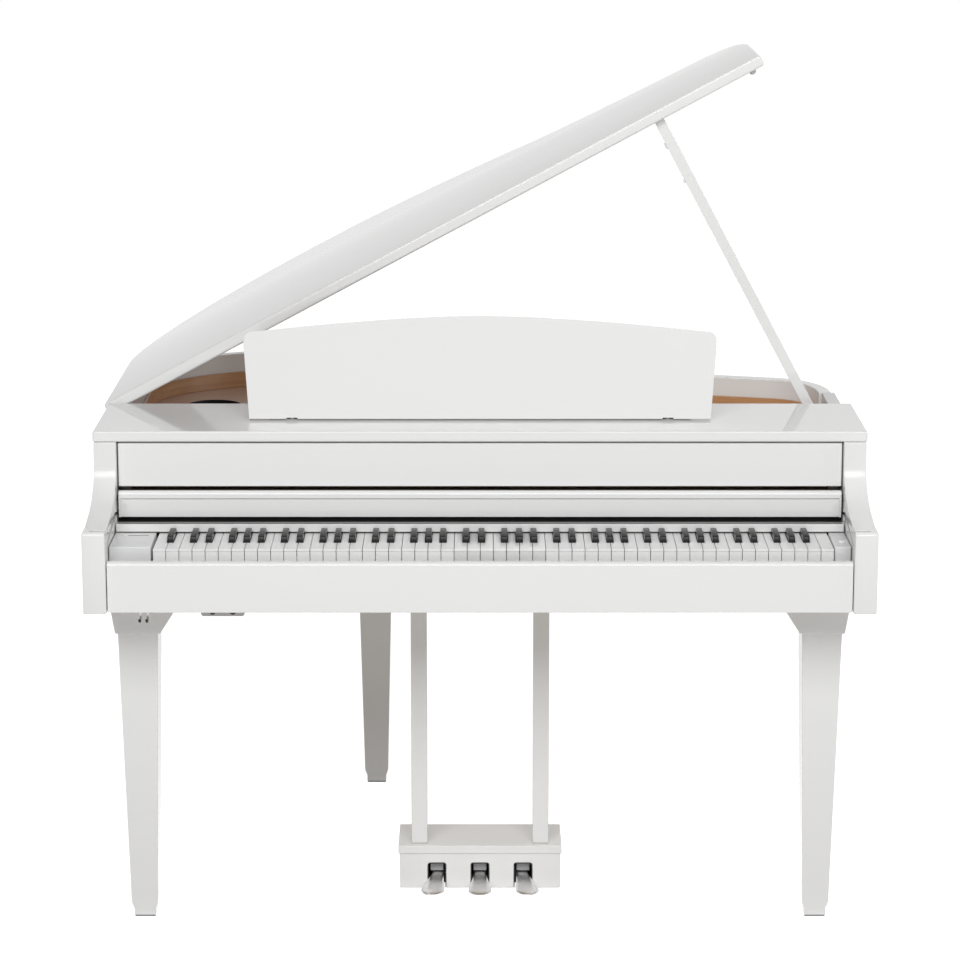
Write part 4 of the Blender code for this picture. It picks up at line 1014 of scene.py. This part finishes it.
def black_key(centre, bottom, rear):
    front = BLACK_FRONT
    profile = [(front, bottom), (rear, bottom), (rear, STICK_TOP), (BLACK_REAR, STICK_TOP),
               (BLACK_REAR, BLACK_TOP), (front + 0.0085, BLACK_TOP), (front + 0.0040, BLACK_TOP - 0.0020),
               (front + 0.0008, KEY_TOP)]
    bm = prism(profile, "x", centre - BLACK_HALF, centre + BLACK_HALF)
    for vert in bm.verts:
        if vert.co.z > BLACK_TOP - 0.003:
            vert.co.x = centre + (vert.co.x - centre) * BLACK_TAPER
    return bm


def sharp_shape():
    """One black key about the middle line, out of sight, to be repeated."""
    obj = mesh_object("sharp_shape", black_key(0.0, STICK_BOTTOM, STICK_REAR))
    round_off(obj, *BLACK_ROUND)
    bpy.context.scene.collection.objects.unlink(obj)
    return obj


sharp_places = []
for index in range(WHITE_COUNT):
    centre = sharp_centre(index)
    if centre is None:
        continue
    if index in FREE_KEYS:
        name = SHARP_NAMES[index - FREE_FIRST]
        piece("black_key_" + name, black_key(centre, KEY_UNDER, KEY_REAR), EBONY, "key_" + name,
                      ["key_" + name], *BLACK_ROUND, late_cuts=[rod_room()])
    else:
        sharp_places.append(((centre, 0, 0), (0, 0, 1)))
sharps = set_on_points("fixed_black_keys", sharp_places, sharp_shape(), EBONY, "case")
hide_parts("black_keys")
bar = block(KEYS_LEFT + 0.001, key_edge(WHITE_COUNT) - 0.001, 0.2865, 0.2995, KEY_UNDER + 0.0001, STICK_TOP)
piece("black_key_bar", bar, DARK_RESIN, "case", ["black_keys"])


# The lacquered rail over the backs of the keys, with a thin grey strip along its top whose grey is
# painted shade under the lip, and the bare name panel above the key cover. Small felt pads under
# the panel's ends keep the cover from rattling, and a black screen behind the rail is painted
# shade that closes the view into the key compartment.
PANEL_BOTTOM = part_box("name_panel")[0].z - 0.0022
PANEL_TOP = BOARD_BOTTOM - 0.0030
PANEL_HALF = 0.6695
RAIL_BOTTOM, RAIL_TOP = 0.7475, 0.7628


def front_panels():
    panel = block(-PANEL_HALF, PANEL_HALF, 0.210, 0.228, PANEL_BOTTOM, PANEL_TOP)
    lacquered("bare_name_panel", panel, ["name_panel"], round_edges=0.0022, segments=4)
    rail = block(-INNER_HALF, INNER_HALF, 0.1685, 0.1845, RAIL_BOTTOM, RAIL_TOP)
    lacquered("key_back_rail", rail, ["key_rail"], round_edges=0.0022, segments=4)
    under = block(KEYS_LEFT, 0.640, 0.1700, 0.1830, STICK_TOP + 0.0002, RAIL_BOTTOM - 0.0001)
    piece("key_rail_felt", under, FELT_DARK, "case")
    # A thin grey strip on the rail's top: its grey is painted shade under the lip.
    upper = block(-0.668, 0.668, 0.1695, 0.1835, RAIL_TOP + 0.0001, RAIL_TOP + 0.0009)
    piece("rail_top_felt", upper, felt("shade_grey", (0.20, 0.20, 0.20)), "case")
    pads = bmesh.new()
    for side in (-1, 1):
        add_block(pads, *span(side, 0.646, 0.661), 0.2110, 0.2180, PANEL_BOTTOM - 0.0045,
                  PANEL_BOTTOM - 0.0002)
    piece("panel_pads", pads, FELT_DARK, "case", round_edges=0.0006, segments=2)
    # A black sheet behind the rail: painted shade that darkens the gap under the lip.
    piece("felt_screen", block(-0.6690, 0.6690, 0.2150, 0.2170, RAIL_BOTTOM, 0.7925), FELT_DARK, "case")


front_panels()


# The key cover: a board bent to the arc of its grooves, and the lip that the player pulls
# forward, with a shallow finger rebate across its face. Black pins at both ends run in the
# grooves, whose floors are lined with black plastic.
COVER_HALF_THICK = 0.0055
COVER_FRONT, COVER_BACK = 89.2, 72.2
PIN_RADIUS = 0.0032
LIP_FACE, LIP_BACK, LIP_BOTTOM, LIP_TOP = 0.1960, 0.2130, 0.7692, 0.8184


def key_cover():
    board = bent_strip(COVER_RADIUS, COVER_HALF_THICK, COVER_FRONT, COVER_BACK, 40)
    lacquered("cover_board", prism(board, "x", -0.666, 0.666), ["key_cover"], body="key_cover",
              round_edges=0.0012, segments=3, edge_angle=50)
    r, chamfer = 0.0075, 0.004
    outline = [(LIP_FACE, LIP_BOTTOM), (LIP_BACK, LIP_BOTTOM), (LIP_BACK, LIP_TOP - chamfer),
               (LIP_BACK - chamfer, LIP_TOP)] + arc((LIP_FACE + r, LIP_TOP - r), r, 90, 180, 12)
    rebate = block(-0.6650, 0.6650, 0.18, LIP_FACE + 0.0030, 0.7600, 0.8048)
    lacquered("cover_lip", prism(outline, "x", -0.6690, 0.6690), ["key_cover_lip"], body="key_cover",
              round_edges=0.0010, segments=3, edge_angle=40, cuts=[rebate])
    pins = bmesh.new()
    for radius, angle in ((COVER_RADIUS, 73.4), (GUIDE_RADIUS, 89.8)):
        place = arc(COVER_CENTRE, radius, angle, angle, 1)[0]
        for side in (-1, 1):
            add_prism(pins, circle(place, PIN_RADIUS, 24), "x", *span(side, 0.6655, 0.6768))
    piece("cover_pins", pins, DARK_RESIN, "key_cover")


def groove_liners():
    liners = bmesh.new()
    for side in (-1, 1):
        low, high = span(side, GROOVE_FLOOR - 0.0009, GROOVE_FLOOR - 0.0002)
        for radius, start, end in ((GUIDE_RADIUS, 86.7, 91.4), (GUIDE_RADIUS, 89.6, 107.4),
                                   (COVER_RADIUS, 70.7, 91.0)):
            add_prism(liners, bent_strip(radius, GROOVE_HALF - 0.0002, start, end), "x", low, high)
    piece("groove_liners", liners, DARK_RESIN, "case")


key_cover()
groove_liners()


# The fixed top board in front of the lid, lacquered on both faces with well rounded edges.
# It lies on the case walls and carries the hinge strip of the music rest.
BOARD_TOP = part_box("top_board")[1].z
TOP_HALF = 0.7152


def top_board():
    bm = block(-TOP_HALF, TOP_HALF, BOARD_FRONT, BOARD_REAR, BOARD_BOTTOM, BOARD_TOP)
    lacquered("front_top_board", bm, ["top_board"], round_edges=0.0032, segments=5)


top_board()


# The music rest: one lacquered panel with round shoulders and a bowed top, hinged to a steel
# strip on the board by two knuckles with black sleeves. It leans on two short props that swing
# in recesses in its back.
REST_HINGE = (0.3174, 0.934)
REST_LEAN = math.radians(14)
REST_HEIGHT = 0.1897
REST_BACK, REST_FRONT = -0.0018, -0.0138
PROP_REACH = 0.070
PROP_X = 0.200
PROP_ROOM = 0.0085
LUG_RADIUS = 0.0026
KNUCKLE_X = 0.3525
KNUCKLE_ROOM = 0.0103
SLEEVE_RADIUS, SLEEVE_LONG = 0.0032, 0.0068


def rest_outline():
    low, wide, shoulder, r = 0.4325, 0.4435, 0.1447, 0.016
    corner = arc((wide - r, shoulder), r, 0, 68, 14)
    bow = bent_line([corner[-1], (0.270, REST_HEIGHT - 0.0125), (0.120, REST_HEIGHT), (0, REST_HEIGHT)], 30)
    right = [(low, -0.0035), (wide, shoulder - 0.012)] + corner + bow[1:-1]
    return right + [bow[-1]] + [(-x, z) for x, z in right[::-1]]


def music_rest():
    cuts = []
    for side in (-1, 1):
        x = side * KNUCKLE_X
        cuts.append(block(x - KNUCKLE_ROOM, x + KNUCKLE_ROOM, -0.0046, 0.02, -0.02, 0.0045))
        cuts.append(block(x - KNUCKLE_ROOM, x + KNUCKLE_ROOM, -0.03, -0.0040, -0.02, -0.0012))
        x = side * PROP_X
        cuts.append(block(x - PROP_ROOM, x + PROP_ROOM, REST_BACK - 0.0030, 0.02, PROP_REACH - 0.006,
                          2 * PROP_REACH + 0.006))
    stand = Matrix.Translation((0, *REST_HINGE)) @ Matrix.Rotation(-REST_LEAN, 4, "X")
    lacquered("music_rest_panel", prism(rest_outline(), "y", REST_FRONT, REST_BACK), ["music_rest"],
              body="music_rest", round_edges=0.0028, segments=4, edge_angle=40, cuts=cuts, place=stand)
    tongue = arc((0, PROP_REACH), LUG_RADIUS, 90, -90, 12)
    tongue += [(REST_BACK, PROP_REACH - LUG_RADIUS), (REST_BACK, PROP_REACH + LUG_RADIUS)]
    lugs = bmesh.new()
    for x in (-PROP_X, PROP_X):
        for low in (x - PROP_ROOM - 0.0040, x + PROP_ROOM):
            add_prism(lugs, tongue, "x", low, low + 0.0040)
    piece("rest_prop_lugs", lugs, PLATED_STEEL, "music_rest", place=stand)
    sleeves = bmesh.new()
    for x in (-KNUCKLE_X, KNUCKLE_X):
        for low in (x - 0.0032 - SLEEVE_LONG, x + 0.0032):
            add_prism(sleeves, circle(REST_HINGE, SLEEVE_RADIUS, 24), "x", low, low + SLEEVE_LONG)
    piece("rest_hinge_sleeves", sleeves, DARK_RESIN, "case")


music_rest()
refinish("music_rest_hinge", metal("bright_steel", (0.62, 0.62, 0.62), 0.16, 0.1))
for node in ("rest_prop_left", "rest_prop_right"):
    refinish(node, PLATED_STEEL)


# The lid: one lacquered board that follows the plan of the case, hinged along the bass side
# on a steel hinge and shown raised. A grey rubber bumper sits under its treble end.
LID_OPEN = math.radians(28.2)
LID_UNDER, LID_TOP = 0.908, 0.930
LID_AXIS = (-0.714, 0.908)
LID_FRONT = 0.479
LID_LEFT, LID_RIGHT = -0.716, 0.705
LID_TAIL = 1.237
BUMPER_PLACE = (0.680, 0.497)


def lid_path():
    path = bent_line([(LID_LEFT, 0.930), (LID_LEFT, 1.095), (-0.560, LID_TAIL), (-0.310, LID_TAIL),
                      (-0.120, LID_TAIL), (0.060, 1.140), (0.200, 1.050),
                      (0.290, 0.975), (0.430, 0.940), (0.610, 0.893),
                      (0.668, 0.874), (LID_RIGHT, 0.820), (LID_RIGHT, 0.720)], 24)
    return [(LID_LEFT, LID_FRONT)] + path + [(LID_RIGHT, LID_FRONT)]


RAISED = (Matrix.Translation((LID_AXIS[0], 0, LID_AXIS[1])) @ Matrix.Rotation(-LID_OPEN, 4, "Y")
          @ Matrix.Translation((-LID_AXIS[0], 0, -LID_AXIS[1])))


def lid():
    notch = prism(circle(LID_AXIS, 0.0052, 32), "y", 0.519, 0.901)
    lacquered("lid_board", prism(lid_path(), "z", LID_UNDER, LID_TOP), ["lid"], body="lid",
              round_edges=0.0052, segments=6, edge_angle=50, late_cuts=[notch], place=RAISED)
    r, low, rise, seat = 0.0064, LID_UNDER - 0.0078, 0.0050, LID_UNDER - GAP
    dome = [(r * math.sin(a), low + rise * (1 - math.cos(a)))
            for a in [i * math.pi / 16 for i in range(1, 9)]]
    bumper = bmesh.new()
    add_turned(bumper, [(0, low)] + dome + [(r, seat), (0, seat)], BUMPER_PLACE, 40)
    piece("lid_rubber", bumper, moulded("grey_rubber", (0.58, 0.58, 0.58), dull=0.6), "lid",
                  ["lid_bumper"], place=RAISED, edge_angle=50)


lid()
for node in ("lid_hinge", "lid_hinge_leaf"):
    refinish(node, PLATED_STEEL)


# The stay: a flat lacquered bar on a steel pin between the ears of a bracket on the treble
# wall. Its square tip stands under the lid; a small catch and a stud sit on its inner edge.
STAY_PIVOT = (0.6577, 0.880)
STAY_LENGTH = 0.6726
STAY_HALF, STAY_EDGE = 0.006, 0.0095
STAY_D = 0.505
STAY_UP = Matrix.Translation((STAY_PIVOT[0], STAY_D, STAY_PIVOT[1])) @ Matrix.Rotation(-LID_OPEN, 4, "Y")


def stay():
    outline = arc((0, 0), STAY_EDGE, 180, 360, 32) + [(STAY_EDGE, STAY_LENGTH), (-STAY_EDGE, STAY_LENGTH)]
    pin_hole = prism(circle((0, 0), 0.0038, 32), "y", -0.02, 0.02)
    lacquered("stay_bar", prism(outline, "y", -STAY_HALF, STAY_HALF), ["lid_stay"], body="lid_stay",
              round_edges=0.0016, segments=3, edge_angle=50, cuts=[pin_hole], place=STAY_UP)
    low, beside = STAY_LENGTH - 0.0575, -STAY_EDGE - 0.0001
    catch = prism([(beside - 0.0037, low + 0.004), (beside - 0.0003, low), (beside, low + 0.012),
                   (beside - 0.0029, low + 0.0125)], "y", -0.004, 0.004)
    piece("stay_catch", catch, SATIN_WHITE, "lid_stay", round_edges=0.0005, segments=2, place=STAY_UP)
    stud = prism(arc((beside, STAY_LENGTH - 0.127), 0.0032, 90, 270, 12), "y", -0.003, 0.003)
    piece("stay_stud", stud, SATIN_WHITE, "lid_stay", round_edges=0.0004, segments=2, place=STAY_UP)


stay()
refinish("stay_bracket", PLATED_STEEL)


# Three square tapered legs: a straight flared head under the case, a tapered shaft with a
# chamfer at the ankle, and a square foot on a thin grey glide.
FRONT_LEG_X, FRONT_LEG_D = 0.6340, 0.1895


def leg(node, x, d, top, head):
    """A leg from the floor to its top; its head reaches left, right, forward and back from its middle."""
    foot, ankle, knee, neck = 0.0202, 0.0247, 0.0371, 0.0420
    levels = [(0.0020, 4 * [foot]), (0.0150, 4 * [foot]), (0.0290, 4 * [ankle]), (0.5575, 4 * [knee]),
              (0.5595, 4 * [neck]), (top, head)]
    bm = bmesh.new()
    add_skin(bm, [[(x - left, d - front, z), (x + right, d - front, z), (x + right, d + rear, z),
                   (x - left, d + rear, z)] for z, (left, right, front, rear) in levels])
    lacquered(node + "_post", bm, [node], round_edges=0.0014, segments=3, edge_angle=18)
    half = foot - 0.001
    piece(node + "_glide", block(x - half, x + half, d - half, d + half, 0.0, 0.0018), FELT_DARK, "case")


leg("front_left_leg", -FRONT_LEG_X, FRONT_LEG_D, KEYBED_BOTTOM - GAP, (0.052, 0.090, 0.058, 0.085))
leg("front_right_leg", FRONT_LEG_X, FRONT_LEG_D, KEYBED_BOTTOM - GAP, (0.090, 0.052, 0.058, 0.085))
leg("rear_leg", -0.2215, 1.020, BOTTOM_UNDERSIDE - GAP, (0.070, 0.070, 0.070, 0.070))


# The lyre: two square posts from the keybed down to a hollow pedal box with an overhanging lid.
# Each slot in its front is edged with black plastic, and a black sheet on its back and floor paints
# the shade inside the box.
BOX_FRONT, BOX_REAR, BOX_TOP = 0.3175, 0.450, 0.0896
BOX_HALF = 0.158
BOX_BOTTOM, BOX_PLATE = 0.003, 0.0725
POST_FRONT, POST_REAR, POST_HALF = 0.330, 0.361, 0.0155
SLOTS_X = (-0.0835, 0, 0.0835)
SLOT_HALF, SLOT_TOP = 0.018, 0.054
POST_X = 0.117


def slot_outline(x, grow, bottom):
    half, top, r = SLOT_HALF + grow, SLOT_TOP + grow, 0.005 + grow
    outline = [(x - half, bottom), (x + half, bottom)] + arc((x + half - r, top - r), r, 0, 90, 8)
    return outline + arc((x - half + r, top - r), r, 90, 180, 8)


def lyre_post(side, node):
    bm = block(side * POST_X - POST_HALF, side * POST_X + POST_HALF, POST_FRONT, POST_REAR, BOX_TOP + GAP,
               KEYBED_BOTTOM - GAP)
    lacquered("lyre_" + node, bm, [node], round_edges=0.0022, segments=4)


def pedal_box():
    ledge = 0.0025
    bm = block(-BOX_HALF + ledge, BOX_HALF - ledge, BOX_FRONT + ledge, BOX_REAR - ledge, BOX_BOTTOM,
               BOX_PLATE)
    cuts = [block(-0.120, 0.120, 0.330, 0.438, -0.01, 0.068)]
    cuts += [prism(slot_outline(x, 0.0, -0.01), "y", 0.30, 0.34) for x in SLOTS_X]
    lacquered("pedal_box_body", bm, ["pedal_box"], round_edges=0.0012, segments=3, edge_angle=40, cuts=cuts)
    lid_board = block(-BOX_HALF, BOX_HALF, BOX_FRONT, BOX_REAR, BOX_PLATE, BOX_TOP)
    lacquered("pedal_box_lid", lid_board, ["pedal_box"], round_edges=0.0024, segments=4)


def pedal_box_trim():
    """Plastic round the slots, a black sheet of painted shade against the back and floor, and four feet."""
    edging = bmesh.new()
    for x in SLOTS_X:
        outer, inner = [slot_outline(x, grow, BOX_BOTTOM + 0.001) for grow in (-0.0002, -0.0016)]
        add_prism(edging, outer[1:] + outer[:1] + inner[:1] + inner[:0:-1], "y", BOX_FRONT + 0.0020, 0.3298)
    piece("slot_edging", edging, DARK_RESIN, "case")
    half, floor, thick = 0.1195, 0.0040, 0.0014
    # A black sheet on the box's back and floor: painted shade inside the box.
    shade_sheet = block(-half, half, 0.4362, 0.4362 + thick, floor, 0.0676)
    add_block(shade_sheet, -half, half, 0.3480, 0.4360, floor, floor + thick)
    piece("pedal_box_lining", shade_sheet, DARK_RESIN, "case")
    r, top = 0.0080, BOX_BOTTOM
    feet = bmesh.new()
    for x in (-0.135, 0.135):
        for d in (0.340, 0.430):
            add_turned(feet, [(0, top), (r, top), (r, 0.0004), (r - 0.0004, 0), (0, 0)], (x, d), 32)
    piece("pedal_box_feet", feet, FELT_DARK, "case")


lyre_post(-1, "left_post")
lyre_post(1, "right_post")
pedal_box()
pedal_box_trim()


# Three cast pedals, polished and chromed: a flat neck that swells into a rounded spoon-shaped
# tip. The outer two point a little outwards. Each turns on a pin between two steel ears, under a
# black felt stop, with a grey bushing close behind its slot.
PEDAL_AXIS = (0.410, 0.0275)
NECK_END, TIP_START = 0.080, 0.172
NECK_HALF, TIP_HALF = 0.0122, 0.0222
PEDAL_X, SPLAY = 0.0727, 6.2
PEDALS = {"soft_pedal": (-PEDAL_X, -SPLAY), "sostenuto_pedal": (0.0, 0.0), "damper_pedal": (PEDAL_X, SPLAY)}
EAR_RADIUS, EAR_TOP = 0.0075, 0.0404
STOP = (0.0160, 0.3420, 0.3500, 0.0380, 0.0679)
BUSHING = (0.0125, 0.3330, 0.3380, 0.0340, 0.0600)
CHROME = metal("polished_chrome", (0.90, 0.90, 0.905), 0.30, 0.03, (60.0, 60.0, 60.0), bump=0.0)


def pedal_sections():
    """(distance from the pivot, half width, half thickness, lift) along the pedal."""
    thick, swell, dip = 0.0043, 0.0008, -0.0030
    stations = [(-0.006, NECK_HALF * 0.9, 0.0038, 0), (-0.0045, NECK_HALF, thick, 0),
                (NECK_END, NECK_HALF, thick, 0)]
    for i in range(1, 9):
        t = i / 8
        smooth = t * t * (3 - 2 * t)
        stations.append((NECK_END + (TIP_START - NECK_END) * t, NECK_HALF + (TIP_HALF - NECK_HALF) * smooth,
                         thick + swell * smooth, dip * smooth))
    for i in range(1, 11):
        a = math.pi / 2 * i / 10
        stations.append((TIP_START + 0.0268 * math.sin(a), max(TIP_HALF * math.cos(a), 0.0006),
                         max((thick + swell) * math.cos(a) ** 0.45, 0.0005),
                         dip - 0.0012 * (1 - math.cos(a))))
    return stations


def pedal_place(x, splay):
    return Matrix.Translation((x, *PEDAL_AXIS)) @ Matrix.Rotation(math.radians(splay), 4, "Z")


def pedal(node, x, splay, steps=32):
    rings = []
    for distance, half, thick, lift in pedal_sections():
        ring = []
        for i in range(steps):
            a = 2 * math.pi * i / steps
            c, s = math.cos(a), math.sin(a)
            ring.append((half * math.copysign(abs(c) ** 0.55, c), -distance,
                         lift + thick * math.copysign(abs(s) ** 0.62, s)))
        rings.append(ring)
    bm = bmesh.new()
    add_skin(bm, rings)
    piece("chromed_" + node, bm, CHROME, node, [node], edge_angle=60, place=pedal_place(x, splay))
    pin = prism(circle((0, 0), 0.0026, 20), "x", -0.0160, 0.0160)
    piece(node + "_pin", pin, PLATED_STEEL, node, place=pedal_place(x, splay))


def pedal_seats():
    """Inside the box: ears that hold each pin, a black stop and a grey bushing over the pedal."""
    ears, stops, bushings = bmesh.new(), bmesh.new(), bmesh.new()
    outline = arc((0, 0), EAR_RADIUS, 180, 360, 16) + [(EAR_RADIUS, EAR_TOP), (-EAR_RADIUS, EAR_TOP)]
    for x, splay in PEDALS.values():
        for side in (-1, 1):
            add_skin(ears, [[pedal_place(x, splay) @ Vector((level, *point)) for point in outline]
                            for level in span(side, 0.0130, 0.0168)])
    for bm, (half, front, rear, bottom, top) in ((stops, STOP), (bushings, BUSHING)):
        for x in SLOTS_X:
            add_block(bm, x - half, x + half, front, rear, bottom, top)
    piece("pedal_ears", ears, PLATED_STEEL, "case")
    piece("pedal_stops", stops, FELT_DARK, "case", round_edges=0.0008, segments=2)
    piece("pedal_bushings", bushings, moulded("bushing_grey", (0.34, 0.34, 0.34)), "case", round_edges=0.0008,
          segments=2)


for node, (x, splay) in PEDALS.items():
    pedal(node, x, splay)
pedal_seats()


# Under the keybed at the left: a grey socket box for two headphone plugs, with black socket
# rings, and a headphone hook with two bent prongs capped in black.
JACKS_X, JACKS_Z = (-0.486, -0.449), 0.6265
JACK_BOX = (-0.507, -0.428, 0.050, 0.125, 0.6185)
JACK_HOLE, RING_INNER, RING_OUTER = 0.0034, 0.0035, 0.0050
HOOK_X, HOOK_D, PRONG_X = -0.613, 0.075, 0.0065


def jack_box():
    x0, x1, d0, d1, z0 = JACK_BOX
    z1, r = KEYBED_BOTTOM - GAP, 0.005
    outline = arc((x0 + r, z0 + r), r, 180, 270, 10) + arc((x1 - r, z0 + r), r, 270, 360, 10)
    outline += [(x1, z1), (x0, z1)]
    holes = [prism(circle((x, JACKS_Z), JACK_HOLE, 32), "y", d0 - 0.01, d0 + 0.030) for x in JACKS_X]
    piece("headphone_socket_box", prism(outline, "y", d0, d1),
                  moulded("box_grey", (0.56, 0.56, 0.56), dull=0.35), "case", ["jack_box"],
                  round_edges=0.0010, segments=3, edge_angle=40, late_cuts=holes)
    rings = bmesh.new()
    for x in JACKS_X:
        outer, inner = circle((x, JACKS_Z), RING_OUTER, 32), circle((x, JACKS_Z), RING_INNER, 32)
        loops = ((outer, 0.0001), (outer, 0.0007), (inner, 0.0009), (inner, 0.0001))
        add_skin(rings, [[(a, d0 - proud, b) for a, b in loop] for loop, proud in loops], closed=True)
    piece("socket_rings", rings, DARK_RESIN, "case", edge_angle=50)


def add_wire(bm, points, radius, steps=16):
    """Add a round wire along points that lie in one plane from front to back."""
    across = Vector((1, 0, 0))
    rings = []
    for i, point in enumerate(points):
        along = (points[min(i + 1, len(points) - 1)] - points[max(i - 1, 0)]).normalized()
        other = along.cross(across)
        rings.append([point + radius * (math.cos(a) * across + math.sin(a) * other)
                      for a in [2 * math.pi * k / steps for k in range(steps)]])
    add_skin(bm, rings)


def headphone_hook():
    d, z = HOOK_D, KEYBED_BOTTOM - GAP
    path = [(d, z - 0.0015), (d - 0.0003, z - 0.008), (d - 0.001, z - 0.016)]
    path += arc((d - 0.012, z - 0.020), 0.011, 0, -140, 16)
    wires, tips = bmesh.new(), bmesh.new()
    for x in (HOOK_X - PRONG_X, HOOK_X + PRONG_X):
        points = [Vector((x, *place)) for place in path]
        add_wire(wires, points, 0.0021)
        add_wire(tips, points[-5:], 0.0026)
    plate = block(HOOK_X - 0.011, HOOK_X + 0.011, d - 0.010, d + 0.012, z - 0.002, z)
    piece("hook_plate", plate, CHROME, "case", ["headphone_hook"], round_edges=0.0006, segments=2)
    piece("hook_prongs", wires, PLATED_STEEL, "case", ["headphone_hook"], edge_angle=60)
    piece("hook_tips", tips, DARK_RESIN, "case", edge_angle=60)


jack_box()
headphone_hook()
